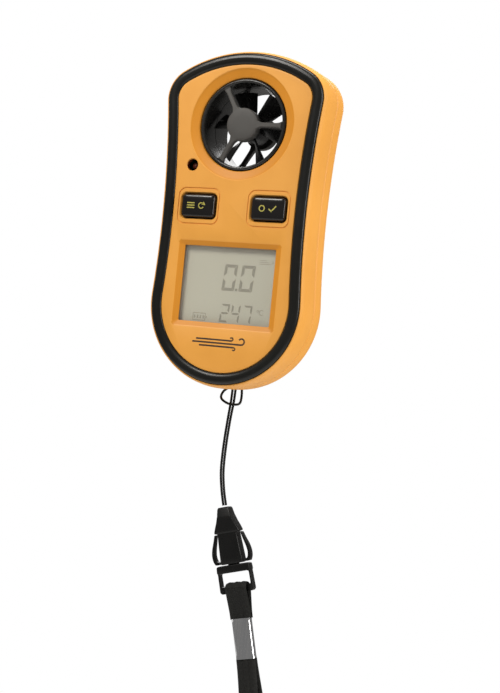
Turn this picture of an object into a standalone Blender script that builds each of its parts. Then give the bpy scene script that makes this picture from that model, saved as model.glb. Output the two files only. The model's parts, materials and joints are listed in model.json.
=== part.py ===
"""Handheld vane anemometer with a wrist lanyard, modelled as separate working parts.

Metres, +Z up along the casing, front face towards -Y, origin at the casing's centre.
Run with: blender --background --python part.py
"""

import math

import bmesh
import bpy
from mathutils import Matrix, Vector

MM = 0.001

# Casing outline: a top arc, two shoulder arcs, two waist arcs and a bottom arc, all tangent.
TOP_Z = 52.4 * MM
BOTTOM_Z = -52.6 * MM
TOP_RADIUS = 43.0 * MM
SHOULDER_RADIUS = 10.5 * MM
WAIST_HALF = 25.2 * MM
WAIST_Z = 0.0
BOTTOM_RADIUS = 26.2 * MM
ARC_STEPS = {"top": 6, "shoulder": 6, "waist": 6, "bottom": 11}

# Casing depth.
FACE_Y = -9.3 * MM
BACK_Y = 10.0 * MM
PARTING_Y = 0.5 * MM
GAP = 0.3 * MM
WALL = 1.8 * MM
BAND_OUTER = 1.25 * MM
BAND_INNER = 4.6 * MM
BAND_CREST_Y = -10.0 * MM
BAND_FLOOR_Y = -8.2 * MM

# Fan duct, about an axis along Y.
FAN_Z = 29.2 * MM
DUCT_OUTER = 14.25 * MM
DUCT_INNER = 13.1 * MM
DISH_RADIUS = 17.4 * MM
DISH_DEPTH = 0.9 * MM
GUARD_HUB_RADIUS = 5.15 * MM
SPOKE_WIDTH = 1.4 * MM
SPOKES = 3
HUB_FACE = 9.3 * MM
SPOKE_CREST = (9.1 * MM, 8.3 * MM)
SPOKE_FOOT = 7.1 * MM
BLADES = 6
BLADE_START = math.radians(-12)
BLADE_TIP = 12.2 * MM
BLADE_TWIST = math.radians(-27)
BLADE_HALF_DEPTH = 2.8 * MM
IMPELLER_HUB_RADIUS = 4.2 * MM
AXLE_RADIUS = 0.5 * MM

# Keys, display and sensor hole.
KEY_X = 11.85 * MM
KEY_Z = 3.3 * MM
KEY_SIZE = (11.3 * MM, 7.2 * MM)
KEY_FRONT_Y = -10.3 * MM
MOAT_SIZE = (14.2 * MM, 11.4 * MM)
MOAT_DEPTH = 0.35 * MM
DISPLAY_Z = -20.75 * MM
DISPLAY_OPENING = (30.8 * MM, 23.6 * MM)
DISPLAY_BEVEL = (34.6 * MM, 26.7 * MM)
SENSOR_X = -15.4 * MM
SENSOR_Z = 16.1 * MM
SENSOR_HOLE_RADIUS = 1.85 * MM

# Circuit board.
BOARD_FRONT_Y = -0.5 * MM
BOARD_BACK_Y = 1.1 * MM
BOARD_INSET = 3.0 * MM

# Battery and its door.
BATTERY_Z = -22.0 * MM
CELL_RADIUS = 10.0 * MM
CELL_THICKNESS = 3.2 * MM
CELL_FRONT_Y = 3.9 * MM
DOOR_RADIUS = 12.0 * MM
DOOR_INNER_Y = 7.6 * MM

# Case screws: places in the XZ plane.
CASE_SCREWS = [(side * x * MM, z * MM) for x, z in ((19.0, 40.0), (15.5, -41.0)) for side in (-1, 1)]
BOARD_SCREW_X = 20.0 * MM
BOARD_SCREW_Z = -2.6 * MM

# Lanyard: a bar in a pocket at the bottom, a cord loop, a buckle, a clamp and a wrist strap.
BAR_Y = 6.5 * MM
BAR_Z = -50.2 * MM
BAR_RADIUS = 0.8 * MM
CORD_RADIUS = 0.4 * MM
BUCKLE_TOP = (0.1 * MM, 6.3 * MM, -89.9 * MM)
LANYARD_TILT = math.radians(16.5)
WEBBING_TILT = math.radians(13.9)
CLAMP_TOP_DROP = 35.0 * MM
CLAMP_BOTTOM_DROP = 47.6 * MM
CLAMP_SIZE = (6.4 * MM, 3.0 * MM)
TAB_WIDTH = 7.2 * MM
TAB_THICKNESS = 0.8 * MM
STRAP_WIDTH = 6.4 * MM
STRAP_THICKNESS = 1.3 * MM
STRAP_HANG = 150.0 * MM
STRAP_BULGE = 32.0 * MM
STRAP_SWAY = 0.7
FRAME_BAR_Z = -25.95 * MM
ARM_PIVOT_X = 5.2 * MM
ARM_PIVOT_DROP = 17.2 * MM

# The buckle, in millimetres. Each socket section is (height, half width, half thickness).
SOCKET_SECTIONS = [
    (0.0, 2.0, 1.4),
    (-0.5, 2.2, 1.6),
    (-2.9, 2.5, 2.1),
    (-6.2, 3.85, 2.1),
    (-7.9, 4.4, 2.0),
    (-8.2, 3.3, 1.95),
    (-17.6, 3.85, 1.9),
    (-17.9, 3.6, 1.7),
]
PLUG_BAR_HALF = [(5.2, -18.2), (5.6, -18.6), (5.7, -20.2), (5.5, -20.7)]
PLUG_FRAME_HALF = [(5.4, -19.0), (5.7, -20.0), (5.85, -26.4), (5.3, -27.0)]
FRAME_OPENING = (10.2, 4.3, -22.75)
ARM_HALF = [
    (0.8, -0.3),
    (1.3, 0.9),
    (1.4, 2.6),
    (1.0, 4.6),
    (0.1, 7.0),
    (-0.5, 8.7),
    (-0.8, 8.6),
    (-0.35, 6.6),
    (0.3, 4.2),
    (0.55, 2.2),
    (0.2, 0.7),
    (-0.5, 0.2),
    (-0.5, -0.5),
    (0.5, -0.5),
]

# The cord's route, in millimetres: up one leg, a lark's head on the bar, down the other leg.
CORD_ROUTE = [
    (-0.35, 6.3, -89.5),
    (-1.55, 6.3, -84.5),
    (-2.4, 6.3, -78.4),
    (-2.25, 6.1, -70.4),
    (-1.5, 5.6, -62.4),
    (-0.75, 5.1, -56.5),
    (-0.55, 4.95, -52.5),
    (-0.55, 5.0, -50.0),
    (-0.6, 6.5, -48.6),
    (-1.0, 8.1, -50.0),
    (-2.6, 8.4, -51.6),
    (-4.7, 7.6, -53.4),
    (-4.5, 5.6, -55.6),
    (-1.6, 3.9, -57.0),
    (0.9, 4.1, -57.3),
    (1.9, 6.0, -56.8),
    (1.6, 7.7, -54.8),
    (1.2, 8.2, -52.0),
    (0.95, 8.05, -50.0),
    (0.6, 6.5, -48.6),
    (0.5, 5.0, -50.0),
    (0.5, 4.95, -52.5),
    (0.25, 5.1, -56.5),
    (-0.6, 5.6, -62.4),
    (-1.35, 6.1, -70.4),
    (-1.5, 6.3, -78.4),
    (-0.65, 6.3, -84.5),
    (0.55, 6.3, -89.3),
]
CORD_STEPS = 3


def clear_scene():
    for obj in list(bpy.data.objects):
        bpy.data.objects.remove(obj, do_unlink=True)


def new_collection(name, hidden=False):
    collection = bpy.data.collections.new(name)
    collection.hide_render = hidden
    bpy.context.scene.collection.children.link(collection)
    return collection


def material(name, colour, roughness, metallic=0.0, transmission=0.0):
    made = bpy.data.materials.new(name)
    made.use_nodes = True
    made.diffuse_color = (*colour, 1.0)
    shader = made.node_tree.nodes["Principled BSDF"]
    shader.inputs["Base Color"].default_value = (*colour, 1.0)
    shader.inputs["Roughness"].default_value = roughness
    shader.inputs["Metallic"].default_value = metallic
    shader.inputs["Transmission Weight"].default_value = transmission
    return made


clear_scene()
PARTS = new_collection("handheld_weather_meter")
CUTTERS = new_collection("cutters", hidden=True)

ORANGE = material("orange_plastic", (0.78, 0.36, 0.07), 0.45)
BLACK = material("black_plastic", (0.012, 0.012, 0.012), 0.35)
GREY = material("grey_plastic", (0.09, 0.09, 0.09), 0.55)
RUBBER = material("black_rubber", (0.01, 0.01, 0.01), 0.4)
STEEL = material("steel", (0.62, 0.62, 0.6), 0.25, 1.0)
POLISHED = material("polished_metal", (0.75, 0.76, 0.78), 0.08, 1.0)
BRASS = material("brass", (0.7, 0.52, 0.22), 0.3, 1.0)
CLEAR = material("clear_plastic", (0.9, 0.92, 0.88), 0.05, 0.0, 0.9)
DISPLAY = material("display_glass", (0.48, 0.47, 0.36), 0.3)
BOARD = material("circuit_board", (0.03, 0.16, 0.07), 0.5)
CHIP = material("chip_resin", (0.02, 0.02, 0.02), 0.5)
SILICONE = material("silicone", (0.6, 0.6, 0.58), 0.6)
EPOXY = material("sensor_epoxy", (0.15, 0.02, 0.01), 0.4)
CORD = material("black_cord", (0.012, 0.012, 0.012), 0.8)
WEBBING = material("black_webbing", (0.015, 0.015, 0.015), 0.9)


def add(name, bm, colour=None, location=(0, 0, 0), parent=None, smooth=True):
    """Makes one object from a bmesh built about its own origin. Without a colour it is a cutter."""
    mesh = bpy.data.meshes.new(name)
    bm.to_mesh(mesh)
    bm.free()
    obj = bpy.data.objects.new(name, mesh)
    obj.location = location
    obj.parent = parent
    if colour is None:
        CUTTERS.objects.link(obj)
        obj.display_type = "WIRE"
        obj.hide_render = True
    else:
        PARTS.objects.link(obj)
        mesh.materials.append(colour)
    if smooth:
        mesh.shade_smooth()
        mesh.set_sharp_from_angle(angle=math.radians(35))
    return obj


def boolean(target, operation, *others):
    for other in others:
        step = target.modifiers.new(operation.lower(), "BOOLEAN")
        step.operation = operation
        step.solver = "EXACT"
        step.object = other


def bevel(obj, width, segments=2):
    step = obj.modifiers.new("bevel", "BEVEL")
    step.width = width
    step.segments = segments
    step.limit_method = "ANGLE"
    step.angle_limit = math.radians(40)


def close_outward(bm):
    bmesh.ops.remove_doubles(bm, verts=bm.verts, dist=1e-6)
    bmesh.ops.recalc_face_normals(bm, faces=bm.faces)
    return bm


def box(size, centre=(0, 0, 0)):
    bm = bmesh.new()
    bmesh.ops.create_cube(bm, size=1.0)
    bmesh.ops.scale(bm, vec=size, verts=bm.verts)
    bmesh.ops.translate(bm, vec=centre, verts=bm.verts)
    return bm


def cylinder(radius, front, back, x=0.0, z=0.0, segments=24, back_radius=None):
    """A cylinder or cone along Y, between the depths front and back."""
    bm = bmesh.new()
    bmesh.ops.create_cone(
        bm,
        cap_ends=True,
        segments=segments,
        radius1=radius,
        radius2=radius if back_radius is None else back_radius,
        depth=back - front,
        matrix=Matrix.Translation((x, (front + back) / 2, z)) @ Matrix.Rotation(math.radians(-90), 4, "X"),
    )
    return bm


def turned(profile, segments=32):
    """Spins a closed or axis-to-axis profile of (radius, depth) points about the Y axis."""
    bm = bmesh.new()
    verts = [bm.verts.new((radius, depth, 0)) for radius, depth in profile]
    edges = [bm.edges.new(pair) for pair in zip(verts, verts[1:])]
    if profile[0][0] > 0:
        edges.append(bm.edges.new((verts[-1], verts[0])))
    bmesh.ops.spin(
        bm,
        geom=verts + edges,
        cent=(0, 0, 0),
        axis=(0, 1, 0),
        angle=math.tau,
        steps=segments,
        use_merge=True,
    )
    return close_outward(bm)


def prism(outline, front, back):
    """Extrudes an outline of (x, z) points from one depth to another."""
    bm = bmesh.new()
    face = bm.faces.new([bm.verts.new((x, front, z)) for x, z in outline])
    pushed = bmesh.ops.extrude_face_region(bm, geom=[face])
    moved = [item for item in pushed["geom"] if isinstance(item, bmesh.types.BMVert)]
    bmesh.ops.translate(bm, verts=moved, vec=(0, back - front, 0))
    return close_outward(bm)


def loft(rings):
    """A closed skin through rings of 3D points, each with the same count, capped at both ends."""
    bm = bmesh.new()
    rows = [[bm.verts.new(point) for point in ring] for ring in rings]
    for near, far in zip(rows, rows[1:]):
        for i in range(len(near)):
            j = (i + 1) % len(near)
            bm.faces.new((near[i], near[j], far[j], far[i]))
    bm.faces.new(rows[0])
    bm.faces.new(rows[-1])
    bmesh.ops.recalc_face_normals(bm, faces=bm.faces)
    return bm


def ribbon(path, width, sway=None):
    """An open strip, width along X, that follows a path of (y, z) points."""
    bm = bmesh.new()
    rows = []
    for y, z in path:
        shift = sway(z) if sway else 0.0
        rows.append([bm.verts.new((shift + side * width / 2, y, z)) for side in (-1, 1)])
    for near, far in zip(rows, rows[1:]):
        bm.faces.new((near[0], near[1], far[1], far[0]))
    return bm


def solidify(obj, thickness):
    step = obj.modifiers.new("solidify", "SOLIDIFY")
    step.thickness = thickness
    step.offset = 0.0
    step.use_even_offset = True


def arc(centre, radius, start, end, steps):
    return [
        (
            centre[0] + radius * math.cos(start + (end - start) * i / steps),
            centre[1] + radius * math.sin(start + (end - start) * i / steps),
        )
        for i in range(steps + 1)
    ]


def rounded_rectangle(width, height, radius, steps=4, centre=(0.0, 0.0)):
    points = []
    for quarter, (sx, sz) in enumerate([(1, 1), (-1, 1), (-1, -1), (1, -1)]):
        corner = (centre[0] + sx * (width / 2 - radius), centre[1] + sz * (height / 2 - radius))
        start = quarter * math.pi / 2
        points += arc(corner, radius, start, start + math.pi / 2, steps)
    return points


def smooth_route(points, steps):
    """Catmull-Rom points through a route, with an even count of steps between neighbours."""
    padded = [points[0], *points, points[-1]]
    result = []
    for a, b, c, d in zip(padded, padded[1:], padded[2:], padded[3:]):
        a, b, c, d = Vector(a), Vector(b), Vector(c), Vector(d)
        for i in range(steps):
            t = i / steps
            bend = (2 * a - 5 * b + 4 * c - d) * t + (3 * b - a - 3 * c + d) * t * t + (c - a)
            result.append(b + bend * t / 2)
    result.append(Vector(points[-1]))
    return result


def tube(name, points, radius, colour, resolution=2):
    """A round tube along a list of points, as a mesh with welded caps."""
    data = bpy.data.curves.new(name, "CURVE")
    data.dimensions = "3D"
    data.bevel_depth = radius
    data.bevel_resolution = resolution
    data.use_fill_caps = True
    spline = data.splines.new("POLY")
    spline.points.add(len(points) - 1)
    for target, point in zip(spline.points, points):
        target.co = (*point, 1.0)
    guide = bpy.data.objects.new(name + "_curve", data)
    CUTTERS.objects.link(guide)
    bpy.context.view_layer.update()
    mesh = bpy.data.meshes.new_from_object(guide.evaluated_get(bpy.context.evaluated_depsgraph_get()))
    bpy.data.objects.remove(guide, do_unlink=True)
    bm = bmesh.new()
    bm.from_mesh(mesh)
    bpy.data.meshes.remove(mesh)
    return add(name, close_outward(bm), colour)


# ---------------------------------------------------------------- casing outline


def casing_centres():
    """Centres of the top, shoulder, waist and bottom arcs on the +X side."""
    top = Vector((0.0, TOP_Z - TOP_RADIUS))
    bottom = Vector((0.0, BOTTOM_Z + BOTTOM_RADIUS))
    rise = (WAIST_Z - bottom.y) ** 2 - (BOTTOM_RADIUS**2 - WAIST_HALF**2)
    waist_radius = rise / (2 * (BOTTOM_RADIUS - WAIST_HALF))
    waist = Vector((WAIST_HALF + waist_radius, WAIST_Z))
    # The shoulder's centre is where two circles of tangency cross.
    from_top = TOP_RADIUS - SHOULDER_RADIUS
    from_waist = waist_radius + SHOULDER_RADIUS
    across = waist - top
    along = (from_top**2 - from_waist**2 + across.length_squared) / (2 * across.length)
    aside = math.sqrt(from_top**2 - along**2)
    unit = across.normalized()
    shoulder = top + unit * along + Vector((-unit.y, unit.x)) * aside
    return top, shoulder, waist, bottom, waist_radius


def direction(from_point, to_point):
    return math.atan2(to_point.y - from_point.y, to_point.x - from_point.x)


def casing_outline(inset=0.0):
    """(x, z) points of the casing's outline, moved inwards by inset."""
    top, shoulder, waist, bottom, waist_radius = casing_centres()
    to_shoulder = direction(top, shoulder)
    to_waist = direction(shoulder, waist)
    from_waist = direction(waist, bottom) % math.tau
    half = arc(top, TOP_RADIUS - inset, math.pi / 2, to_shoulder, ARC_STEPS["top"])
    half += arc(shoulder, SHOULDER_RADIUS - inset, to_shoulder, to_waist, ARC_STEPS["shoulder"])[1:]
    half += arc(waist, waist_radius + inset, to_waist + math.pi, from_waist, ARC_STEPS["waist"])[1:]
    half += arc(bottom, BOTTOM_RADIUS - inset, from_waist - math.pi, -math.pi / 2, ARC_STEPS["bottom"])[1:]
    return half + [(-x, z) for x, z in half[-2:0:-1]]


def swept(profile, closed=False):
    """Carries a profile of (inset, depth) points round the casing's outline."""
    rings = [[(x, depth, z) for x, z in casing_outline(inset)] for inset, depth in profile]
    if not closed:
        return loft(rings)
    bm = bmesh.new()
    rows = [[bm.verts.new(point) for point in ring] for ring in rings]
    for near, far in zip(rows, rows[1:] + rows[:1]):
        for i in range(len(near)):
            j = (i + 1) % len(near)
            bm.faces.new((near[i], near[j], far[j], far[i]))
    bmesh.ops.recalc_face_normals(bm, faces=bm.faces)
    return bm


# ---------------------------------------------------------------- casing


def boss(target, name, x, z, radius, front, back):
    boolean(target, "UNION", add(name, cylinder(radius, front, back, x, z, 16)))


def bore(target, name, x, z, radius, front, back, segments=16):
    boolean(target, "DIFFERENCE", add(name, cylinder(radius, front, back, x, z, segments)))


def make_front_cover():
    seat = -7.9 * MM
    profile = [
        (4.7 * MM, FACE_Y),
        (4.7 * MM, seat),
        (1.15 * MM, seat),
        (1.15 * MM, -8.9 * MM),
        (0.8 * MM, -8.8 * MM),
        (0.35 * MM, -7.5 * MM),
        (0.08 * MM, -6.0 * MM),
        (0.0, -4.6 * MM),
        (0.0, PARTING_Y - GAP / 2),
        (WALL, PARTING_Y - GAP / 2),
        (WALL, -6.3 * MM),
        (5.7 * MM, -6.3 * MM),
        (5.7 * MM, FACE_Y + WALL),
    ]
    cover = add("front_cover", swept(profile), ORANGE)
    inner = FACE_Y + WALL
    for i, (x, z) in enumerate(CASE_SCREWS):
        boss(cover, f"front_boss_{i}", x, z, 2.7 * MM, inner - 0.4 * MM, 0.2 * MM)
    for side in (-1, 1):
        place = side * BOARD_SCREW_X
        boss(cover, f"board_post_{side}", place, BOARD_SCREW_Z, 1.6 * MM, inner - 0.4 * MM, -0.8 * MM)
    dish_start = FACE_Y - 0.5 * MM
    slope = (DISH_RADIUS - DUCT_OUTER - 0.25 * MM) / DISH_DEPTH
    dish = cylinder(
        DISH_RADIUS + slope * 0.5 * MM, dish_start, FACE_Y + DISH_DEPTH, 0, FAN_Z, 64, DUCT_OUTER + 0.25 * MM
    )
    boolean(cover, "DIFFERENCE", add("dish_cutter", dish))
    bore(cover, "front_duct_cutter", 0, FAN_Z, DUCT_OUTER + 0.25 * MM, -12 * MM, 3 * MM, 64)
    bore(cover, "sensor_cutter", SENSOR_X, SENSOR_Z, SENSOR_HOLE_RADIUS, -12 * MM, -5 * MM, 24)
    for side in (-1, 1):
        key = (side * KEY_X, KEY_Z)
        moat = rounded_rectangle(*MOAT_SIZE, 2.4 * MM, 4, key)
        moat_cutter = prism(moat, -12 * MM, FACE_Y + MOAT_DEPTH)
        boolean(cover, "DIFFERENCE", add(f"moat_cutter_{side}", moat_cutter))
        hole = rounded_rectangle(KEY_SIZE[0] + 0.6 * MM, KEY_SIZE[1] + 0.6 * MM, 1.4 * MM, 4, key)
        boolean(cover, "DIFFERENCE", add(f"key_cutter_{side}", prism(hole, -11 * MM, -5.5 * MM)))
    centre = (0.0, DISPLAY_Z)
    outer = rounded_rectangle(DISPLAY_BEVEL[0] + 1.5 * MM, DISPLAY_BEVEL[1] + 1.2 * MM, 1.9 * MM, 4, centre)
    inner_edge = rounded_rectangle(*DISPLAY_OPENING, 0.6 * MM, 4, centre)
    bevel_rings = [
        [(x, FACE_Y - 0.22 * MM, z) for x, z in outer],
        [(x, FACE_Y + 0.55 * MM, z) for x, z in inner_edge],
        [(x, FACE_Y + 2.5 * MM, z) for x, z in inner_edge],
    ]
    boolean(cover, "DIFFERENCE", add("display_cutter", loft(bevel_rings)))
    lens_seat = prism(rounded_rectangle(35.0 * MM, 27.8 * MM, 0.8 * MM, 3, centre), -8.35 * MM, -5.5 * MM)
    boolean(cover, "DIFFERENCE", add("lens_seat_cutter", lens_seat))
    for i, (x, z) in enumerate(CASE_SCREWS):
        bore(cover, f"front_screw_bore_{i}", x, z, 1.05 * MM, -5 * MM, 2 * MM, 12)
    for side in (-1, 1):
        place = side * BOARD_SCREW_X
        bore(cover, f"post_bore_{side}", place, BOARD_SCREW_Z, 0.85 * MM, -4.8 * MM, 2 * MM, 12)
    return cover


def make_rear_cover():
    profile = [
        (5.2 * MM, BACK_Y),
        (3.4 * MM, 9.8 * MM),
        (1.9 * MM, 9.1 * MM),
        (0.8 * MM, 7.9 * MM),
        (0.2 * MM, 6.3 * MM),
        (0.0, 4.6 * MM),
        (0.0, PARTING_Y + GAP / 2),
        (WALL, PARTING_Y + GAP / 2),
        (WALL, 4.8 * MM),
        (2.3 * MM, 6.4 * MM),
        (3.6 * MM, 7.7 * MM),
        (5.2 * MM, BACK_Y - WALL),
    ]
    cover = add("rear_cover", swept(profile), ORANGE)
    inner = BACK_Y - WALL
    for i, (x, z) in enumerate(CASE_SCREWS):
        boss(cover, f"rear_boss_{i}", x, z, 2.7 * MM, 0.8 * MM, inner + 0.5 * MM)
    # A closed pocket for the cord, with the bar across it.
    block = box((10.4 * MM, 5.8 * MM, 5.0 * MM), (0, 6.1 * MM, -48.9 * MM))
    boolean(cover, "UNION", add("pocket_block", block))
    pocket = box((8.4 * MM, 8.0 * MM, 6.6 * MM), (0, 8.1 * MM, -50.75 * MM))
    boolean(cover, "DIFFERENCE", add("pocket_cutter", pocket))
    bar = cylinder(BAR_RADIUS, -4.6 * MM, 4.6 * MM, 0, 0, 16)
    level = Matrix.Rotation(math.radians(90), 3, "Z")
    bmesh.ops.rotate(bar, cent=(0, 0, 0), matrix=level, verts=bar.verts)
    bmesh.ops.translate(bar, vec=(0, BAR_Y, BAR_Z), verts=bar.verts)
    boolean(cover, "UNION", add("cord_bar", bar))
    bore(cover, "rear_duct_cutter", 0, FAN_Z, DUCT_OUTER + 0.25 * MM, -2 * MM, 12 * MM, 64)
    bore(cover, "door_cutter", 0, BATTERY_Z, DOOR_RADIUS + 0.3 * MM, 5 * MM, 12 * MM, 48)
    notch = box((27.6 * MM, 6.0 * MM, 4.6 * MM), (0, 9.5 * MM, 0))
    turn = Matrix.Rotation(math.radians(45), 3, "Y")
    bmesh.ops.rotate(notch, cent=(0, 0, 0), matrix=turn, verts=notch.verts)
    bmesh.ops.translate(notch, vec=(0, 0, BATTERY_Z), verts=notch.verts)
    boolean(cover, "DIFFERENCE", add("lug_notch_cutter", notch))
    for i, (x, z) in enumerate(CASE_SCREWS):
        bore(cover, f"rear_screw_bore_{i}", x, z, 1.15 * MM, -2 * MM, 9 * MM, 12)
        bore(cover, f"screw_head_bore_{i}", x, z, 2.4 * MM, 7.9 * MM, 12 * MM, 20)
    return cover


def make_rim_band():
    profile = [
        (BAND_OUTER, BAND_FLOOR_Y),
        (BAND_OUTER, -9.05 * MM),
        (1.5 * MM, -9.5 * MM),
        (2.05 * MM, -9.85 * MM),
        (2.75 * MM, BAND_CREST_Y),
        (3.6 * MM, -9.93 * MM),
        (4.2 * MM, -9.72 * MM),
        (BAND_INNER, -9.3 * MM),
        (BAND_INNER, BAND_FLOOR_Y),
    ]
    add("rim_band", swept(profile, closed=True), RUBBER)


# ---------------------------------------------------------------- fan


def spoke_bars(sign):
    """Three flared spokes that slope from the hub down to the duct wall."""
    half = SPOKE_WIDTH / 2
    start = GUARD_HUB_RADIUS - 0.6 * MM
    reach = DUCT_INNER + 0.5 * MM
    stations = [(start, half * 2.0), (start + 1.8 * MM, half), (reach - 2.2 * MM, half), (reach, half * 1.9)]
    for i in range(SPOKES):
        rings = []
        for x, w in stations:
            share = (x - start) / (reach - start)
            crest = sign * (SPOKE_CREST[0] + (SPOKE_CREST[1] - SPOKE_CREST[0]) * share)
            foot = sign * SPOKE_FOOT
            rings.append([(x, foot, -w), (x, crest, -w), (x, crest, w), (x, foot, w)])
        bm = loft(rings)
        turn = Matrix.Rotation(math.tau * i / SPOKES, 3, "Y")
        bmesh.ops.rotate(bm, cent=(0, 0, 0), matrix=turn, verts=bm.verts)
        yield i, bm


def make_fan_housing(name, outer_end, sign, colour):
    """Half of the duct, with its spokes and bearing hub. sign is -1 in front and 1 behind."""
    place = (0, 0, FAN_Z)
    middle = sign * 0.15 * MM
    lip = outer_end - sign * 0.45 * MM
    wall = [
        (DUCT_INNER, middle),
        (DUCT_OUTER, middle),
        (DUCT_OUTER, lip),
        (DUCT_OUTER - 0.35 * MM, outer_end),
        (DUCT_INNER + 0.35 * MM, outer_end),
        (DUCT_INNER, lip),
    ]
    housing = add(name, turned(wall, 64), colour, place)
    hub_outer = sign * HUB_FACE
    hub_inner = sign * 6.1 * MM
    hub = [
        (0.0, hub_outer),
        (GUARD_HUB_RADIUS - 0.4 * MM, hub_outer),
        (GUARD_HUB_RADIUS, hub_outer - sign * 0.35 * MM),
        (GUARD_HUB_RADIUS, hub_inner),
        (2.3 * MM, hub_inner),
        (2.3 * MM, sign * 4.9 * MM),
        (1.6 * MM, sign * 4.9 * MM),
        (1.6 * MM, sign * 6.75 * MM),
        (0.0, sign * 6.75 * MM),
    ]
    boolean(housing, "UNION", add(name + "_hub", turned(hub, 32), None, place))
    for i, bm in spoke_bars(sign):
        boolean(housing, "UNION", add(f"{name}_spoke_{i}", bm, None, place))
    return housing


def blade(index):
    """One helical vane, as an open grid from inside the hub to the tip."""
    bm = bmesh.new()
    bmesh.ops.create_grid(bm, x_segments=3, y_segments=4, size=1.0)
    root = IMPELLER_HUB_RADIUS - 0.7 * MM
    for vert in bm.verts:
        radius = root + (BLADE_TIP - root) * (vert.co.x + 1) / 2
        depth = BLADE_HALF_DEPTH * vert.co.y
        angle = BLADE_START + math.tau * index / BLADES + BLADE_TWIST * vert.co.y / 2
        vert.co = (radius * math.cos(angle), depth, radius * math.sin(angle))
    return bm


def make_impeller():
    place = (0, 0, FAN_Z)
    half = 4.4 * MM
    hub = [
        (0.65 * MM, -half),
        (IMPELLER_HUB_RADIUS - 0.6 * MM, -half),
        (IMPELLER_HUB_RADIUS, -half + 0.6 * MM),
        (IMPELLER_HUB_RADIUS, half),
        (3.3 * MM, half),
        (3.3 * MM, 2.9 * MM),
        (1.2 * MM, 2.9 * MM),
        (1.2 * MM, half),
        (0.65 * MM, half),
    ]
    impeller = add("impeller", turned(hub, 32), BLACK, place)
    for i in range(BLADES):
        vane = add(f"vane_{i}", blade(i), None, place)
        solidify(vane, 0.7 * MM)
        boolean(impeller, "UNION", vane)
    add("impeller_axle", cylinder(AXLE_RADIUS, -6.55 * MM, 6.55 * MM, 0, 0, 12), STEEL, place)
    magnet = [(1.4 * MM, 3.1 * MM), (3.1 * MM, 3.1 * MM), (3.1 * MM, 4.3 * MM), (1.4 * MM, 4.3 * MM)]
    add("impeller_magnet", turned(magnet, 24), GREY, place)
    for name, sign in (("bearing_front", -1), ("bearing_rear", 1)):
        near, far = sign * 5.05 * MM, sign * 6.6 * MM
        bush = [(0.7 * MM, near), (1.4 * MM, near), (1.4 * MM, far), (0.7 * MM, far)]
        add(name, turned(bush, 20), BRASS, place)


def make_hall_sensor(rear_housing):
    pocket = box((2.6 * MM, 1.2 * MM, 3.2 * MM), (3.8 * MM, 6.4 * MM, 0))
    boolean(rear_housing, "DIFFERENCE", add("hall_pocket", pocket, None, (0, 0, FAN_Z)))
    sensor = box((2.0 * MM, 0.8 * MM, 2.6 * MM), (3.8 * MM, 6.3 * MM, FAN_Z))
    add("hall_sensor", sensor, CHIP, smooth=False)


# ---------------------------------------------------------------- keys and electronics


def make_key(name, side):
    """A pillowed cap with a flange behind the cover and a stem over the switch."""
    place = (side * KEY_X, 0, KEY_Z)

    def ring(shrink, depth, radius):
        outline = rounded_rectangle(KEY_SIZE[0] - shrink, KEY_SIZE[1] - shrink, radius, 4)
        return [(x, depth, z) for x, z in outline]

    rings = [
        ring(4.6 * MM, KEY_FRONT_Y, 0.6 * MM),
        ring(1.6 * MM, KEY_FRONT_Y + 0.12 * MM, 0.7 * MM),
        ring(0.5 * MM, KEY_FRONT_Y + 0.45 * MM, 0.9 * MM),
        ring(0.0, KEY_FRONT_Y + 1.0 * MM, 1.1 * MM),
        ring(0.0, -7.2 * MM, 1.1 * MM),
        ring(-2.0 * MM, -7.2 * MM, 1.1 * MM),
        ring(-2.0 * MM, -6.4 * MM, 1.1 * MM),
        ring(6.0 * MM, -6.4 * MM, 0.5 * MM),
    ]
    key = add(name, loft(rings), BLACK, place)
    stem = add(name + "_stem", cylinder(1.5 * MM, -6.8 * MM, -5.5 * MM, 0, 0, 16), None, place)
    boolean(key, "UNION", stem)


def make_switch(name, side):
    place = (side * KEY_X, 0, KEY_Z)
    body = add(f"switch_{name}", box((6.0 * MM, 3.3 * MM, 6.0 * MM), (0, -2.45 * MM, 0)), STEEL, place)
    bore_cutter = cylinder(1.85 * MM, -5 * MM, -2.7 * MM, 0, 0, 20)
    boolean(body, "DIFFERENCE", add(f"switch_{name}_bore", bore_cutter, None, place))
    add(f"plunger_{name}", cylinder(1.55 * MM, -5.2 * MM, -3.3 * MM, 0, 0, 20), CHIP, place)


def make_display():
    centre = (0, 0, DISPLAY_Z)
    window = prism(rounded_rectangle(34.4 * MM, 27.2 * MM, 0.6 * MM, 2), -8.05 * MM, -7.2 * MM)
    add("lcd_window", window, CLEAR, centre)
    panel = box((33.0 * MM, 1.8 * MM, 27.0 * MM), (0, -6.0 * MM, 0))
    add("lcd_panel", panel, DISPLAY, centre, smooth=False)
    frame = add("lcd_frame", box((37.2 * MM, 2.8 * MM, 30.2 * MM), (0, -4.6 * MM, 0)), BLACK, centre)
    inner = add("lcd_frame_cutter", box((33.6 * MM, 5 * MM, 27.6 * MM), (0, -4.6 * MM, 0)), None, centre)
    boolean(frame, "DIFFERENCE", inner)
    for name, side in (("upper", 1), ("lower", -1)):
        strip = box((30.0 * MM, 4.0 * MM, 2.2 * MM), (0, -2.8 * MM, side * 11.8 * MM))
        add(f"lcd_connector_{name}", strip, SILICONE, centre, smooth=False)


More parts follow.
